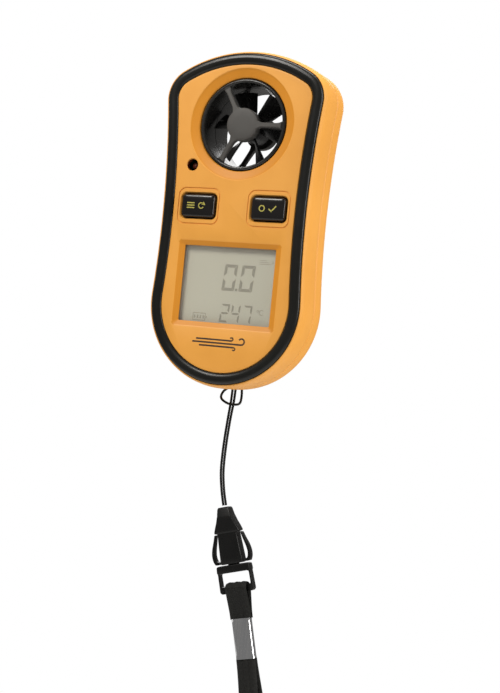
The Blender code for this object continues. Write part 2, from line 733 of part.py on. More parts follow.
def make_board():
    board = add("main_board", prism(casing_outline(BOARD_INSET), BOARD_FRONT_Y, BOARD_BACK_Y), BOARD)
    above = box((60 * MM, 6 * MM, 40 * MM), (0, 0, 39.5 * MM))
    boolean(board, "DIFFERENCE", add("board_top_cutter", above))
    bore(board, "board_duct_cutter", 0, FAN_Z, DUCT_OUTER + 1.2 * MM, -3 * MM, 3 * MM, 48)
    for i, (x, z) in enumerate(CASE_SCREWS[2:]):
        bore(board, f"board_boss_cutter_{i}", x, z, 3.1 * MM, -3 * MM, 3 * MM, 20)
    for side in (-1, 1):
        place = side * BOARD_SCREW_X
        bore(board, f"board_screw_cutter_{side}", place, BOARD_SCREW_Z, 0.95 * MM, -3 * MM, 3 * MM, 12)
    top = BOARD_BACK_Y + GAP
    chip = box((9.0 * MM, 1.4 * MM, 9.0 * MM), (-7.0 * MM, top + 0.7 * MM, 4.0 * MM))
    bevel(add("microcontroller", chip, CHIP, smooth=False), 0.2 * MM, 1)
    crystal = cylinder(1.1 * MM, -3.0 * MM, 3.0 * MM, 0, 0, 16)
    upright = Matrix.Rotation(math.radians(90), 3, "X")
    bmesh.ops.rotate(crystal, cent=(0, 0, 0), matrix=upright, verts=crystal.verts)
    add("crystal", crystal, STEEL, (2.5 * MM, top + 1.1 * MM, 4.0 * MM))
    for i, z in enumerate((7.5 * MM, 0.5 * MM)):
        can = cylinder(1.9 * MM, top, top + 4.0 * MM, 10.5 * MM, z, 20)
        bevel(add(f"capacitor_{i + 1}", can, STEEL), 0.25 * MM, 1)


def make_thermistor():
    bead = bmesh.new()
    bmesh.ops.create_uvsphere(bead, u_segments=16, v_segments=10, radius=1.15 * MM)
    sensor = add("thermistor", bead, EPOXY, (SENSOR_X, -6.4 * MM, SENSOR_Z))
    for side in (-1, 1):
        lead = cylinder(0.22 * MM, -5.9 * MM, BOARD_FRONT_Y - GAP, SENSOR_X + side * 0.55 * MM, SENSOR_Z, 8)
        boolean(sensor, "UNION", add(f"sensor_lead_{side}", lead))


# ---------------------------------------------------------------- battery


def make_battery():
    place = (0, 0, BATTERY_Z)
    start = BOARD_BACK_Y + GAP
    well = [
        (CELL_RADIUS + 0.3 * MM, start + 1.2 * MM),
        (CELL_RADIUS + 0.3 * MM, 6.9 * MM),
        (CELL_RADIUS + 1.3 * MM, 6.9 * MM),
        (CELL_RADIUS + 1.3 * MM, start),
        (4.0 * MM, start),
        (4.0 * MM, start + 1.2 * MM),
    ]
    holder = add("battery_holder", turned(well, 40), BLACK, place)
    slot = box((4.6 * MM, 8 * MM, 4.0 * MM), (CELL_RADIUS + 1.0 * MM, 4.4 * MM, 0))
    boolean(holder, "DIFFERENCE", add("clip_slot_cutter", slot, None, place))
    edge = 0.4 * MM
    cell = [
        (0.0, CELL_FRONT_Y),
        (CELL_RADIUS - 1.2 * MM, CELL_FRONT_Y),
        (CELL_RADIUS - 0.9 * MM, CELL_FRONT_Y + edge),
        (CELL_RADIUS, CELL_FRONT_Y + edge),
        (CELL_RADIUS, CELL_FRONT_Y + CELL_THICKNESS - 0.2 * MM),
        (CELL_RADIUS - 0.2 * MM, CELL_FRONT_Y + CELL_THICKNESS),
        (0.0, CELL_FRONT_Y + CELL_THICKNESS),
    ]
    add("coin_cell", turned(cell, 40), STEEL, place)
    leaf = [
        (-3.4 * MM, start),
        (2.6 * MM, start),
        (3.3 * MM, CELL_FRONT_Y - 0.45 * MM),
        (0.4 * MM, CELL_FRONT_Y - 0.7 * MM),
        (0.0, CELL_FRONT_Y - 0.3 * MM),
    ]
    spring = ribbon([(y, z) for z, y in leaf], 2.4 * MM)
    negative = add("contact_negative", spring, STEEL, place)
    negative.location.y = 0.2 * MM
    solidify(negative, 0.25 * MM)
    clip = box((0.5 * MM, 5.0 * MM, 3.0 * MM), (CELL_RADIUS + 0.6 * MM, start + 2.6 * MM, BATTERY_Z))
    add("contact_positive", clip, STEEL, smooth=False)


def make_battery_door():
    place = (0, 0, BATTERY_Z)
    disc = [
        (0.0, BACK_Y - 0.1 * MM),
        (DOOR_RADIUS - 0.5 * MM, BACK_Y - 0.1 * MM),
        (DOOR_RADIUS, BACK_Y - 0.5 * MM),
        (DOOR_RADIUS, 9.2 * MM),
        (DOOR_RADIUS - 1.0 * MM, 9.2 * MM),
        (DOOR_RADIUS - 1.0 * MM, 8.2 * MM),
        (DOOR_RADIUS, 8.2 * MM),
        (DOOR_RADIUS, DOOR_INNER_Y),
        (0.0, DOOR_INNER_Y),
    ]
    door = add("battery_door", turned(disc, 48), ORANGE, place)
    lugs = box((26.6 * MM, 0.8 * MM, 3.8 * MM), (0, DOOR_INNER_Y - 0.1 * MM, 0))
    boolean(door, "UNION", add("door_lugs", lugs, None, place))
    recess = cylinder(9.6 * MM, 5 * MM, DOOR_INNER_Y + 0.2 * MM, 0, 0, 40)
    boolean(door, "DIFFERENCE", add("door_recess_cutter", recess, None, place))
    slot_outline = rounded_rectangle(15.0 * MM, 2.0 * MM, 0.95 * MM, 4)
    slot = prism(slot_outline, BACK_Y - 1.1 * MM, BACK_Y + 1 * MM)
    boolean(door, "DIFFERENCE", add("coin_slot_cutter", slot, None, place))
    ring = arc((DOOR_RADIUS - 0.38 * MM, 8.7 * MM), 0.32 * MM, math.tau, 0.0, 8)[:-1]
    add("door_seal", turned(ring, 40), RUBBER, place)


# ---------------------------------------------------------------- screws


def make_screw(name, x, z, head_radius, head, shank_radius, tip):
    """A pan-head screw along Y. head is the pair of depths of its head, tip the shank's end."""
    under, crown = head
    profile = [
        (0.0, crown),
        (head_radius * 0.7, crown),
        (head_radius, crown - (crown - under) * 0.35),
        (head_radius, under),
        (shank_radius, under),
        (shank_radius, tip + shank_radius),
        (0.0, tip),
    ]
    screw = add(name, turned(profile, 20), STEEL, (x, 0, z))
    slot_depth = (crown - under) * 0.5
    for i, size in enumerate(((0.45 * MM, head_radius * 1.1), (head_radius * 1.1, 0.45 * MM))):
        cross = box((size[0], slot_depth * 2, size[1]), (0, crown, 0))
        boolean(screw, "DIFFERENCE", add(f"{name}_cross_{i}", cross, None, (x, 0, z)))


def make_screws():
    for i, (x, z) in enumerate(CASE_SCREWS):
        make_screw(f"case_screw_{i + 1}", x, z, 2.05 * MM, (8.2 * MM, 9.3 * MM), 0.85 * MM, -4.0 * MM)
    for i, side in enumerate((-1, 1)):
        place = side * BOARD_SCREW_X
        head = (BOARD_BACK_Y + GAP, BOARD_BACK_Y + 1.3 * MM)
        make_screw(f"board_screw_{i + 1}", place, BOARD_SCREW_Z, 1.5 * MM, head, 0.65 * MM, -4.0 * MM)


# ---------------------------------------------------------------- lanyard


def mirrored(half):
    """A closed outline in metres from the millimetre points of its +X half, from top to bottom."""
    points = half + [(-x, z) for x, z in reversed(half) if x > 0]
    return [(x * MM, z * MM) for x, z in points]


def stack(sections, corner):
    """A solid through rounded rectangles that lie level, each (height, half width, half thickness)."""
    rings = []
    for z, half_width, half_thickness in sections:
        outline = rounded_rectangle(2 * half_width, 2 * half_thickness, corner, 2)
        rings.append([(x * MM, y * MM, z * MM) for x, y in outline])
    return loft(rings)


def make_buckle(frame):
    socket = add("buckle_socket", stack(SOCKET_SECTIONS, 0.5), BLACK, parent=frame)
    cavity = box((4.2 * MM, 2.6 * MM, 9.0 * MM), (0, 0, -14.0 * MM))
    boolean(socket, "DIFFERENCE", add("socket_cavity", cavity, parent=frame))
    plug = add("buckle_plug", prism(mirrored(PLUG_FRAME_HALF), -1.1 * MM, 1.1 * MM), BLACK, parent=frame)
    bevel(plug, 0.25 * MM)
    bar = add("plug_bar", prism(mirrored(PLUG_BAR_HALF), -1.6 * MM, 1.6 * MM), parent=frame)
    bevel(bar, 0.3 * MM)
    boolean(plug, "UNION", bar)
    width, height, middle = (size * MM for size in FRAME_OPENING)
    opening = prism(rounded_rectangle(width, height, 0.5 * MM, 2, (0, middle)), -4 * MM, 4 * MM)
    boolean(plug, "DIFFERENCE", add("frame_opening", opening, parent=frame))
    # The bar under the webbing is thinner, so that the webbing's turn clears it.
    for face in (-1, 1):
        relief = box((9.5 * MM, 2.0 * MM, 2.4 * MM), (0, face * 1.75 * MM, FRAME_BAR_Z))
        boolean(plug, "DIFFERENCE", add(f"bar_relief_{face}", relief, parent=frame))
    tongue = box((3.4 * MM, 1.8 * MM, 8.6 * MM), (0, 0, -14.7 * MM))
    boolean(plug, "UNION", add("plug_tongue", tongue, parent=frame))
    for name, side in (("buckle_arm_left", -1), ("buckle_arm_right", 1)):
        outline = [(side * x * MM, z * MM) for x, z in ARM_HALF]
        pivot = (side * ARM_PIVOT_X, 0, -ARM_PIVOT_DROP)
        arm = add(name, prism(outline, -1.0 * MM, 1.0 * MM), BLACK, pivot, frame)
        bevel(arm, 0.12 * MM)


def make_webbing(frame):
    turn_radius = 1.9 * MM
    lower = -CLAMP_TOP_DROP + GAP
    crown = arc((0.0, FRAME_BAR_Z), turn_radius, math.pi, 0.0, 8)
    path = [(-0.55 * MM, lower), (-0.7 * MM, lower + 2.5 * MM), *crown]
    path += [(0.7 * MM, lower + 2.5 * MM), (0.55 * MM, lower)]
    tab = add("strap_tab", ribbon(path, TAB_WIDTH), WEBBING, parent=frame)
    solidify(tab, TAB_THICKNESS)
    middle = -(CLAMP_TOP_DROP + CLAMP_BOTTOM_DROP) / 2
    length = CLAMP_BOTTOM_DROP - CLAMP_TOP_DROP
    clamp = add("strap_clamp", box((*CLAMP_SIZE, length), (0, 0, middle)), POLISHED, parent=frame)
    bevel(clamp, 0.8 * MM, 3)
    start = -CLAMP_BOTTOM_DROP - GAP

    def sway(z):
        return -STRAP_SWAY * (start - z) ** 2

    path = []
    steps = 44
    for i in range(steps + 1):
        angle = math.tau * i / steps
        spread = STRAP_BULGE * math.sin(angle) * math.sin(angle / 2) ** 2
        y = -spread - STRAP_THICKNESS * 0.6 * math.cos(angle / 2)
        path.append((y, start - STRAP_HANG * (1 - math.cos(angle)) / 2))
    strap = add("wrist_strap", ribbon(path, STRAP_WIDTH, sway), WEBBING, parent=frame)
    solidify(strap, STRAP_THICKNESS)


def lanyard_frame(name, tilt, place):
    frame = bpy.data.objects.new(name, None)
    PARTS.objects.link(frame)
    frame.location = place
    frame.rotation_euler = (0, -tilt, 0)
    return frame


def make_lanyard():
    route = [point * MM for point in smooth_route(CORD_ROUTE, CORD_STEPS)]
    tube("lanyard_cord", route, CORD_RADIUS, CORD)
    make_buckle(lanyard_frame("buckle_frame", LANYARD_TILT, BUCKLE_TOP))
    # The webbing hangs nearer to upright: it turns about the buckle's bar.
    bar = Vector((0, 0, FRAME_BAR_Z))
    tilted = Matrix.Rotation(-LANYARD_TILT, 3, "Y") @ bar
    hung = Matrix.Rotation(-WEBBING_TILT, 3, "Y") @ bar
    make_webbing(lanyard_frame("webbing_frame", WEBBING_TILT, Vector(BUCKLE_TOP) + tilted - hung))


make_front_cover()
make_rear_cover()
make_rim_band()
make_fan_housing("fan_housing_front", -8.5 * MM, -1, GREY)
make_hall_sensor(make_fan_housing("fan_housing_rear", 9.7 * MM, 1, GREY))
make_impeller()
make_key("key_mode", -1)
make_key("key_set", 1)
make_switch("mode", -1)
make_switch("set", 1)
make_display()
make_board()
make_thermistor()
make_battery()
make_battery_door()
make_screws()
make_lanyard()
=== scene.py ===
"""Looks of the handheld weather meter: its shells, fan, keys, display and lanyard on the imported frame."""

import json
import math

import bmesh
import bpy
from mathutils import Matrix, Vector


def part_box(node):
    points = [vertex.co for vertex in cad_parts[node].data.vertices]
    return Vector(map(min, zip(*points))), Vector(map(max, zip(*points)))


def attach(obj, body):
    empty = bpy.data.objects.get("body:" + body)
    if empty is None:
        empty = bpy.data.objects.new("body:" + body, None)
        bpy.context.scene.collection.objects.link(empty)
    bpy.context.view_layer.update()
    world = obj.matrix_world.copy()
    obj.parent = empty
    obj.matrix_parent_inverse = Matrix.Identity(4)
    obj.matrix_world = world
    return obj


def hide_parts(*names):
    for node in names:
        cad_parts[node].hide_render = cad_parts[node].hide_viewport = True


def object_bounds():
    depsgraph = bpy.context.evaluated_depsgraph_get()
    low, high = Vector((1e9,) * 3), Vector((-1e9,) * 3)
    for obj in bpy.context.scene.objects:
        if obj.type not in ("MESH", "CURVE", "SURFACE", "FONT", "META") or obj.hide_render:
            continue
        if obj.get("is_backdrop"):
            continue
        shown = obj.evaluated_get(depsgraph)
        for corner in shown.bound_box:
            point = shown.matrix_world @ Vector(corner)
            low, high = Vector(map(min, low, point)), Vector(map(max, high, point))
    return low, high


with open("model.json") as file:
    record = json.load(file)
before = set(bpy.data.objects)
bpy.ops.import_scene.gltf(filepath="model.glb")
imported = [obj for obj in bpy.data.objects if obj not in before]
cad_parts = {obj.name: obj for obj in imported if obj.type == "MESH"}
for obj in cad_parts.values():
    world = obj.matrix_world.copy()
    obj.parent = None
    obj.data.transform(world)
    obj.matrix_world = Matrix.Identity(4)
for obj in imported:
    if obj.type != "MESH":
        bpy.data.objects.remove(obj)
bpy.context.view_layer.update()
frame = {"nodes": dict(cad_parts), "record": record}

# Shapes are in millimetres until piece() scales them. Lights, floor and camera are in metres.
MM = 0.001
MICRON = 0.000001
PER_MM = 1000.0

# The casing's outline, as tangent arcs.
TOP_Z = 52.4
BOTTOM_Z = -52.6
TOP_RADIUS = 43.0
SHOULDER_RADIUS = 10.5
WAIST_HALF = 25.2
WAIST_Z = 0.0
BOTTOM_RADIUS = 26.2
ARC_STEPS = {"top": 24, "shoulder": 20, "waist": 24, "bottom": 36}

FACE_Y = -9.3
BACK_Y = 10.0
PARTING_Y = 0.5
GAP = 0.3
WALL = 1.8

FAN_Z = 29.2
DUCT_OUTER = 14.25
DUCT_INNER = 13.1
DISH_RADIUS = 17.4
DISH_DEPTH = 0.9

KEY_X = 11.85
KEY_Z = 3.3
KEY_SIZE = (11.3, 7.2)
KEY_FRONT_Y = -10.3
DISPLAY_Z = -20.75
DISPLAY_OPENING = (30.8, 23.6)
DISPLAY_BEVEL = (34.6, 26.7)
DISPLAY_GLASS_Y = -6.9
SENSOR_X = -15.4
SENSOR_Z = 16.1
SENSOR_HOLE_RADIUS = 1.85
MOAT_SIZE = (14.3, 11.5)
GUARD_HUB_RADIUS = 5.15
SPOKE_WIDTH = 1.4
SPOKES = 3
HUB_FACE = 9.3
SPOKE_CREST = (9.1, 8.3)
SPOKE_FOOT = 7.1
BLADES = 6
BLADE_START = math.radians(-12)
BLADE_TIP = 12.2
BLADE_TWIST = math.radians(-27)
BLADE_HALF_DEPTH = 2.8
IMPELLER_HUB_RADIUS = 4.2
BATTERY_Z = -22.0
DOOR_RADIUS = 12.0
CASE_SCREWS = [(side * x, z) for x, z in ((19.0, 40.0), (15.5, -41.0)) for side in (-1, 1)]

# Lanyard.
BAR_Y = 6.5
BAR_Z = -50.2
BAR_RADIUS = 0.8
CORD_RADIUS = 0.4
BUCKLE_TOP = (0.1, 6.3, -89.9)
LANYARD_TILT = math.radians(16.5)
WEBBING_TILT = math.radians(13.9)
CLAMP_TOP_DROP = 35.0
CLAMP_BOTTOM_DROP = 47.6
CLAMP_SIZE = (6.4, 3.0)
TAB_WIDTH = 7.2
FRAME_BAR_Z = -25.95
STRAP_WIDTH = 6.4
STRAP_THICKNESS = 1.3
STRAP_HANG = 150.0
STRAP_BULGE = 32.0
STRAP_SWAY = 0.0007
ARM_PIVOT_X = 5.2
ARM_PIVOT_DROP = 17.2

# The buckle, in millimetres. Each socket section is (height, half width, half thickness).
SOCKET_SECTIONS = [
    (0.0, 1.75, 1.15), (-0.12, 1.95, 1.35), (-0.5, 2.15, 1.55), (-2.75, 2.45, 2.02),
    (-2.95, 2.52, 2.1), (-4.6, 3.05, 2.1), (-6.2, 3.75, 2.1), (-7.4, 4.22, 2.03),
    (-7.85, 4.33, 1.98), (-8.05, 4.2, 1.9), (-8.18, 3.5, 1.9), (-8.5, 3.3, 1.93),
    (-12.5, 3.55, 1.93), (-17.4, 3.82, 1.9), (-17.75, 3.74, 1.8), (-17.9, 3.5, 1.6),
]
PLUG_BAR_HALF = [(5.2, -18.2), (5.6, -18.6), (5.7, -20.2), (5.5, -20.7)]
PLUG_FRAME_HALF = [(5.4, -19.0), (5.7, -20.0), (5.85, -26.4), (5.3, -27.0)]
FRAME_OPENING = (10.2, 4.3, -22.75)
ARM_HALF = [
    (0.8, -0.3), (1.3, 0.9), (1.4, 2.6), (1.0, 4.6), (0.1, 7.0), (-0.5, 8.7), (-0.8, 8.6),
    (-0.35, 6.6), (0.3, 4.2), (0.55, 2.2), (0.2, 0.7), (-0.5, 0.2), (-0.5, -0.5), (0.5, -0.5),
]

# The cord's route, in millimetres.
CORD_ROUTE = [
    (-0.35, 6.3, -89.5), (-1.55, 6.3, -84.5), (-2.4, 6.3, -78.4), (-2.25, 6.1, -70.4),
    (-1.5, 5.6, -62.4), (-0.75, 5.1, -56.5), (-0.55, 4.95, -52.5), (-0.55, 5.0, -50.0),
    (-0.6, 6.5, -48.6), (-1.0, 8.1, -50.0), (-2.6, 8.4, -51.6), (-4.7, 7.6, -53.4),
    (-4.5, 5.6, -55.6), (-1.6, 3.9, -57.0), (0.9, 4.1, -57.3), (1.9, 6.0, -56.8),
    (1.6, 7.7, -54.8), (1.2, 8.2, -52.0), (0.95, 8.05, -50.0), (0.6, 6.5, -48.6),
    (0.5, 5.0, -50.0), (0.5, 4.95, -52.5), (0.25, 5.1, -56.5), (-0.6, 5.6, -62.4),
    (-1.35, 6.1, -70.4), (-1.5, 6.3, -78.4), (-0.65, 6.3, -84.5), (0.55, 6.3, -89.3),
]

# Camera: below and to the right of the face, rolled so that the meter leans as it was held.
CAMERA_PLACE = (0.1799, -0.3997, -0.0466)
CAMERA_TARGET = (0.0045, 0.0038, -0.0386)
CAMERA_ROLL = math.radians(5.63)
CAMERA_LENS_MM = 72.7

# Light: the strength of the all-round light, and (name, place, target, size, power, colour) of each card.
AMBIENT = 0.22
FLOOR_RADIUS = 0.45
LIGHTS = [
    ("key", (-0.20, -0.40, 0.40), (0, 0, 0.03), (0.22, 0.22), 3.1, (1.0, 0.97, 0.92)),
    ("side", (0.85, -0.05, 0.28), (0, 0, 0.0), (0.30, 0.70), 7.0, (1.0, 0.98, 0.94)),
    ("top", (0.0, 0.15, 0.85), (0, 0, 0.0), (0.5, 0.4), 5.0, (1.0, 0.98, 0.95)),
    ("back", (-0.3, 0.9, 0.3), (0, 0, -0.05), (0.5, 0.5), 2.0, (1.0, 1.0, 1.0)),
]


# ---------------------------------------------------------------- materials


def shader_nodes(name):
    made = bpy.data.materials.new(name)
    made.use_nodes = True
    tree = made.node_tree
    return made, tree, tree.nodes["Principled BSDF"]


def noise(tree, scale, detail=4.0, roughness=0.5, stretch=(1, 1, 1)):
    """A noise texture in object space, whose scale counts features per metre."""
    place = tree.nodes.new("ShaderNodeTexCoord")
    mapping = tree.nodes.new("ShaderNodeMapping")
    mapping.inputs["Scale"].default_value = stretch
    texture = tree.nodes.new("ShaderNodeTexNoise")
    texture.inputs["Scale"].default_value = scale
    texture.inputs["Detail"].default_value = detail
    texture.inputs["Roughness"].default_value = roughness
    tree.links.new(place.outputs["Object"], mapping.inputs["Vector"])
    tree.links.new(mapping.outputs["Vector"], texture.inputs["Vector"])
    return texture.outputs["Fac"]


def ramp(tree, source, stops):
    """A colour ramp from (position, colour) stops."""
    node = tree.nodes.new("ShaderNodeValToRGB")
    elements = node.color_ramp.elements
    while len(elements) < len(stops):
        elements.new(0.5)
    for element, (position, colour) in zip(elements, stops):
        element.position = position
        element.color = (*colour, 1.0)
    tree.links.new(source, node.inputs["Fac"])
    return node.outputs["Color"]


def level(tree, source, low, high):
    """Spreads a 0 to 1 value over low to high."""
    node = tree.nodes.new("ShaderNodeMapRange")
    node.inputs["To Min"].default_value = low
    node.inputs["To Max"].default_value = high
    tree.links.new(source, node.inputs["Value"])
    return node.outputs["Result"]


def bump(tree, shader, source, distance):
    node = tree.nodes.new("ShaderNodeBump")
    node.inputs["Distance"].default_value = distance
    node.inputs["Strength"].default_value = 1.0
    tree.links.new(source, node.inputs["Height"])
    tree.links.new(node.outputs["Normal"], shader.inputs["Normal"])


def plastic(name, dark, light, roughness, grain, depth, spread=0.06, coat=0.0, gloss=0.5):
    """Moulded plastic: slow colour drift, uneven gloss, and grain per mm of a depth in micrometres."""
    made, tree, shader = shader_nodes(name)
    drift = noise(tree, 60.0, 3.0)
    tree.links.new(ramp(tree, drift, [(0.3, dark), (0.7, light)]), shader.inputs["Base Color"])
    rub = noise(tree, 400.0, 5.0)
    tree.links.new(level(tree, rub, roughness - spread, roughness + spread), shader.inputs["Roughness"])
    bump(tree, shader, noise(tree, grain * PER_MM, 2.0), depth * MICRON)
    shader.inputs["Coat Weight"].default_value = coat
    shader.inputs["Specular IOR Level"].default_value = gloss
    return made


def metal(name, dark, light, roughness, stretch=(1, 1, 1), depth=10, scale=1500):
    """Metal with fine drawn lines along the axis where stretch is small."""
    made, tree, shader = shader_nodes(name)
    shader.inputs["Metallic"].default_value = 1.0
    lines = noise(tree, scale, 4.0, 0.6, stretch)
    tree.links.new(ramp(tree, lines, [(0.35, dark), (0.65, light)]), shader.inputs["Base Color"])
    tree.links.new(level(tree, lines, roughness * 0.7, roughness * 1.4), shader.inputs["Roughness"])
    bump(tree, shader, lines, depth * MICRON)
    return made


def woven(name, dark, light, scale, depth, roughness=0.85):
    """Yarn: fine twisted fibres per mm, with a little sheen. The depth is in micrometres."""
    made, tree, shader = shader_nodes(name)
    fibres = noise(tree, scale * PER_MM, 6.0, 0.7, (1, 1, 0.35))
    tree.links.new(ramp(tree, fibres, [(0.3, dark), (0.75, light)]), shader.inputs["Base Color"])
    tree.links.new(level(tree, fibres, roughness - 0.1, roughness + 0.1), shader.inputs["Roughness"])
    bump(tree, shader, fibres, depth * MICRON)
    shader.inputs["Specular IOR Level"].default_value = 0.25
    shader.inputs["Sheen Weight"].default_value = 0.04
    shader.inputs["Sheen Roughness"].default_value = 0.5
    return made


def clear(name, tint, alpha):
    """A clear window that lets light straight through and keeps a clean gloss."""
    made, tree, shader = shader_nodes(name)
    smears = noise(tree, 120.0, 3.0)
    tree.links.new(level(tree, smears, 0.02, 0.07), shader.inputs["Roughness"])
    shader.inputs["Base Color"].default_value = (*tint, 1.0)
    shader.inputs["Alpha"].default_value = alpha
    made.surface_render_method = "BLENDED"
    return made


ORANGE = plastic("orange_shell", (0.80, 0.355, 0.055), (0.86, 0.395, 0.068), 0.46, 14, 12, gloss=0.42)
# Painted shade: a darker, duller orange given to the recessed dish and display frame in place of their shade.
ORANGE_PAINTED_SHADE = plastic("orange_dish_painted_shade", (0.66, 0.255, 0.022), (0.72, 0.285, 0.030), 0.46, 14, 8, gloss=0.25)
BAND = plastic("band_rubber", (0.006, 0.006, 0.005), (0.011, 0.011, 0.010), 0.30, 9, 6, gloss=0.3)
KEY_BLACK = plastic("key_black", (0.006, 0.005, 0.005), (0.010, 0.009, 0.009), 0.22, 6, 3, 0.05, 0.1, 0.35)
DUCT_BLACK = plastic("duct_black", (0.012, 0.012, 0.011), (0.022, 0.021, 0.020), 0.26, 7, 6, gloss=0.4)
GUARD_GREY = plastic("guard_grey", (0.070, 0.067, 0.063), (0.092, 0.088, 0.083), 0.55, 9, 20, gloss=0.3)
VANE_BLACK = plastic("vane_black", (0.010, 0.010, 0.010), (0.018, 0.018, 0.018), 0.28, 7, 4)
BUCKLE_BLACK = plastic("buckle_black", (0.004, 0.004, 0.004), (0.008, 0.008, 0.008), 0.34, 8, 8, gloss=0.22)
CHIP_BLACK = plastic("chip_black", (0.015, 0.015, 0.015), (0.03, 0.03, 0.03), 0.55, 9, 10)
BOARD_GREEN = plastic("board_green", (0.02, 0.12, 0.05), (0.035, 0.17, 0.07), 0.4, 3, 6)
SILICONE = plastic("silicone_strip", (0.50, 0.50, 0.48), (0.62, 0.62, 0.60), 0.6, 5, 8)
SENSOR = plastic("sensor_epoxy", (0.10, 0.018, 0.008), (0.16, 0.03, 0.014), 0.3, 4, 10)
GLASS_PANEL = plastic("display_panel", (0.47, 0.455, 0.35), (0.50, 0.485, 0.38), 0.32, 12, 1)
SEGMENT = plastic("display_segment", (0.20, 0.185, 0.125), (0.24, 0.22, 0.15), 0.5, 8, 1)
GHOST = plastic("display_faint", (0.27, 0.255, 0.185), (0.30, 0.285, 0.205), 0.5, 8, 1)
LEGEND = plastic("legend_print", (0.42, 0.38, 0.07), (0.50, 0.45, 0.09), 0.5, 8, 3)
PRINT = plastic("dark_print", (0.035, 0.020, 0.012), (0.055, 0.032, 0.02), 0.6, 8, 3)
WINDOW = clear("display_window", (0.95, 0.96, 0.94), 0.08)
STEEL = metal("drawn_steel", (0.50, 0.50, 0.49), (0.66, 0.66, 0.65), 0.3, (1, 1, 0.05))
CHROME = metal("polished_clamp", (0.62, 0.64, 0.68), (0.78, 0.79, 0.81), 0.09, (1, 1, 0.04), 3, 900)
BRASS = metal("bush_brass", (0.55, 0.40, 0.16), (0.70, 0.52, 0.22), 0.28)
CORD_BLACK = woven("cord_yarn", (0.003, 0.003, 0.003), (0.014, 0.014, 0.013), 6, 40)
STRAP_BLACK = woven("strap_yarn", (0.003, 0.003, 0.003), (0.022, 0.022, 0.020), 7, 60)


# ---------------------------------------------------------------- mesh helpers


def linked(name, data):
    """A new object in the scene that holds data."""
    obj = bpy.data.objects.new(name, data)
    bpy.context.scene.collection.objects.link(obj)
    return obj


def mesh_of(name, bm):
    mesh = bpy.data.meshes.new(name)
    bm.to_mesh(mesh)
    bm.free()
    return mesh


def piece(name, bm, colour, body, nodes=(), angle=32.0):
    """Turns a bmesh in millimetres into a shown piece that rides a body and stands for CAD nodes."""
    bmesh.ops.scale(bm, vec=(MM, MM, MM), verts=bm.verts)
    mesh = mesh_of(name, bm)
    obj = linked(name, mesh)
    mesh.materials.append(colour)
    mesh.shade_smooth()
    mesh.set_sharp_from_angle(angle=math.radians(angle))
    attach(obj, body)
    if nodes:
        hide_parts(*nodes)
    return obj


def combined(base, operation, *others):
    """The bmesh that is left of base once others are joined to it or cut from it, one after another."""
    bmesh.ops.recalc_face_normals(base, faces=base.faces)
    for other in others:
        bmesh.ops.recalc_face_normals(other, faces=other.faces)
        made = [linked("scratch", mesh_of("scratch", bm)) for bm in (base, other)]
        step = made[0].modifiers.new("step", "BOOLEAN")
        step.operation = operation
        step.solver = "MANIFOLD"
        step.object = made[1]
        bpy.context.view_layer.update()
        graph = bpy.context.evaluated_depsgraph_get()
        base = bmesh.new()
        base.from_mesh(made[0].evaluated_get(graph).to_mesh())
        for obj in made:
            bpy.data.meshes.remove(obj.data)
    bmesh.ops.remove_doubles(base, verts=base.verts, dist=2e-4)
    return base


def about(axis, degrees):
    return Matrix.Rotation(math.radians(degrees), 3, axis)


def moved(bm, offset=(0, 0, 0), turn=None):
    if turn is not None:
        bmesh.ops.rotate(bm, cent=(0, 0, 0), matrix=turn, verts=bm.verts)
    bmesh.ops.translate(bm, vec=offset, verts=bm.verts)
    return bm


def box(size, centre=(0, 0, 0)):
    bm = bmesh.new()
    bmesh.ops.create_cube(bm, size=1.0)
    bmesh.ops.scale(bm, vec=size, verts=bm.verts)
    return moved(bm, centre)


def cylinder(radius, front, back, x=0.0, z=0.0, segments=48):
    bm = bmesh.new()
    bmesh.ops.create_cone(
        bm, cap_ends=True, segments=segments, radius1=radius, radius2=radius, depth=back - front
    )
    return moved(bm, (x, (front + back) / 2, z), about("X", -90))


def turned(profile, segments=96):
    """Spins a (radius, depth) profile about the Y axis. A profile off the axis closes on itself."""
    bm = bmesh.new()
    verts = [bm.verts.new((radius, depth, 0)) for radius, depth in profile]
    edges = [bm.edges.new(pair) for pair in zip(verts, verts[1:])]
    if profile[0][0] > 0:
        edges.append(bm.edges.new((verts[-1], verts[0])))
    bmesh.ops.spin(
        bm,
        geom=verts + edges,
        cent=(0, 0, 0),
        axis=(0, 1, 0),
        angle=math.tau,
        steps=segments,
        use_merge=True,
    )
    bmesh.ops.remove_doubles(bm, verts=bm.verts, dist=1e-3)
    bmesh.ops.recalc_face_normals(bm, faces=bm.faces)
    return bm


def loft(rings, closed=False):
    """A skin through rings of 3D points. Open ends are capped, or the last ring joins the first."""
    bm = bmesh.new()
    rows = [[bm.verts.new(point) for point in ring] for ring in rings]
    followers = rows[1:] + rows[:1] if closed else rows[1:]
    for near, far in zip(rows, followers):
        for i in range(len(near)):
            j = (i + 1) % len(near)
            bm.faces.new((near[i], near[j], far[j], far[i]))
    if not closed:
        bm.faces.new(rows[0])
        bm.faces.new(rows[-1])
    bmesh.ops.recalc_face_normals(bm, faces=bm.faces)
    return bm


def prism(outline, front, back):
    return loft([[(x, y, z) for x, z in outline] for y in (front, back)])


def arc(centre, radius, start, end, steps):
    return [
        (
            centre[0] + radius * math.cos(start + (end - start) * i / steps),
            centre[1] + radius * math.sin(start + (end - start) * i / steps),
        )
        for i in range(steps + 1)
    ]


def rounded_rectangle(width, height, radius, steps=8, centre=(0.0, 0.0)):
    points = []
    for quarter, (sx, sz) in enumerate([(1, 1), (-1, 1), (-1, -1), (1, -1)]):
        corner = (centre[0] + sx * (width / 2 - radius), centre[1] + sz * (height / 2 - radius))
        start = quarter * math.pi / 2
        points += arc(corner, radius, start, start + math.pi / 2, steps)
    return points


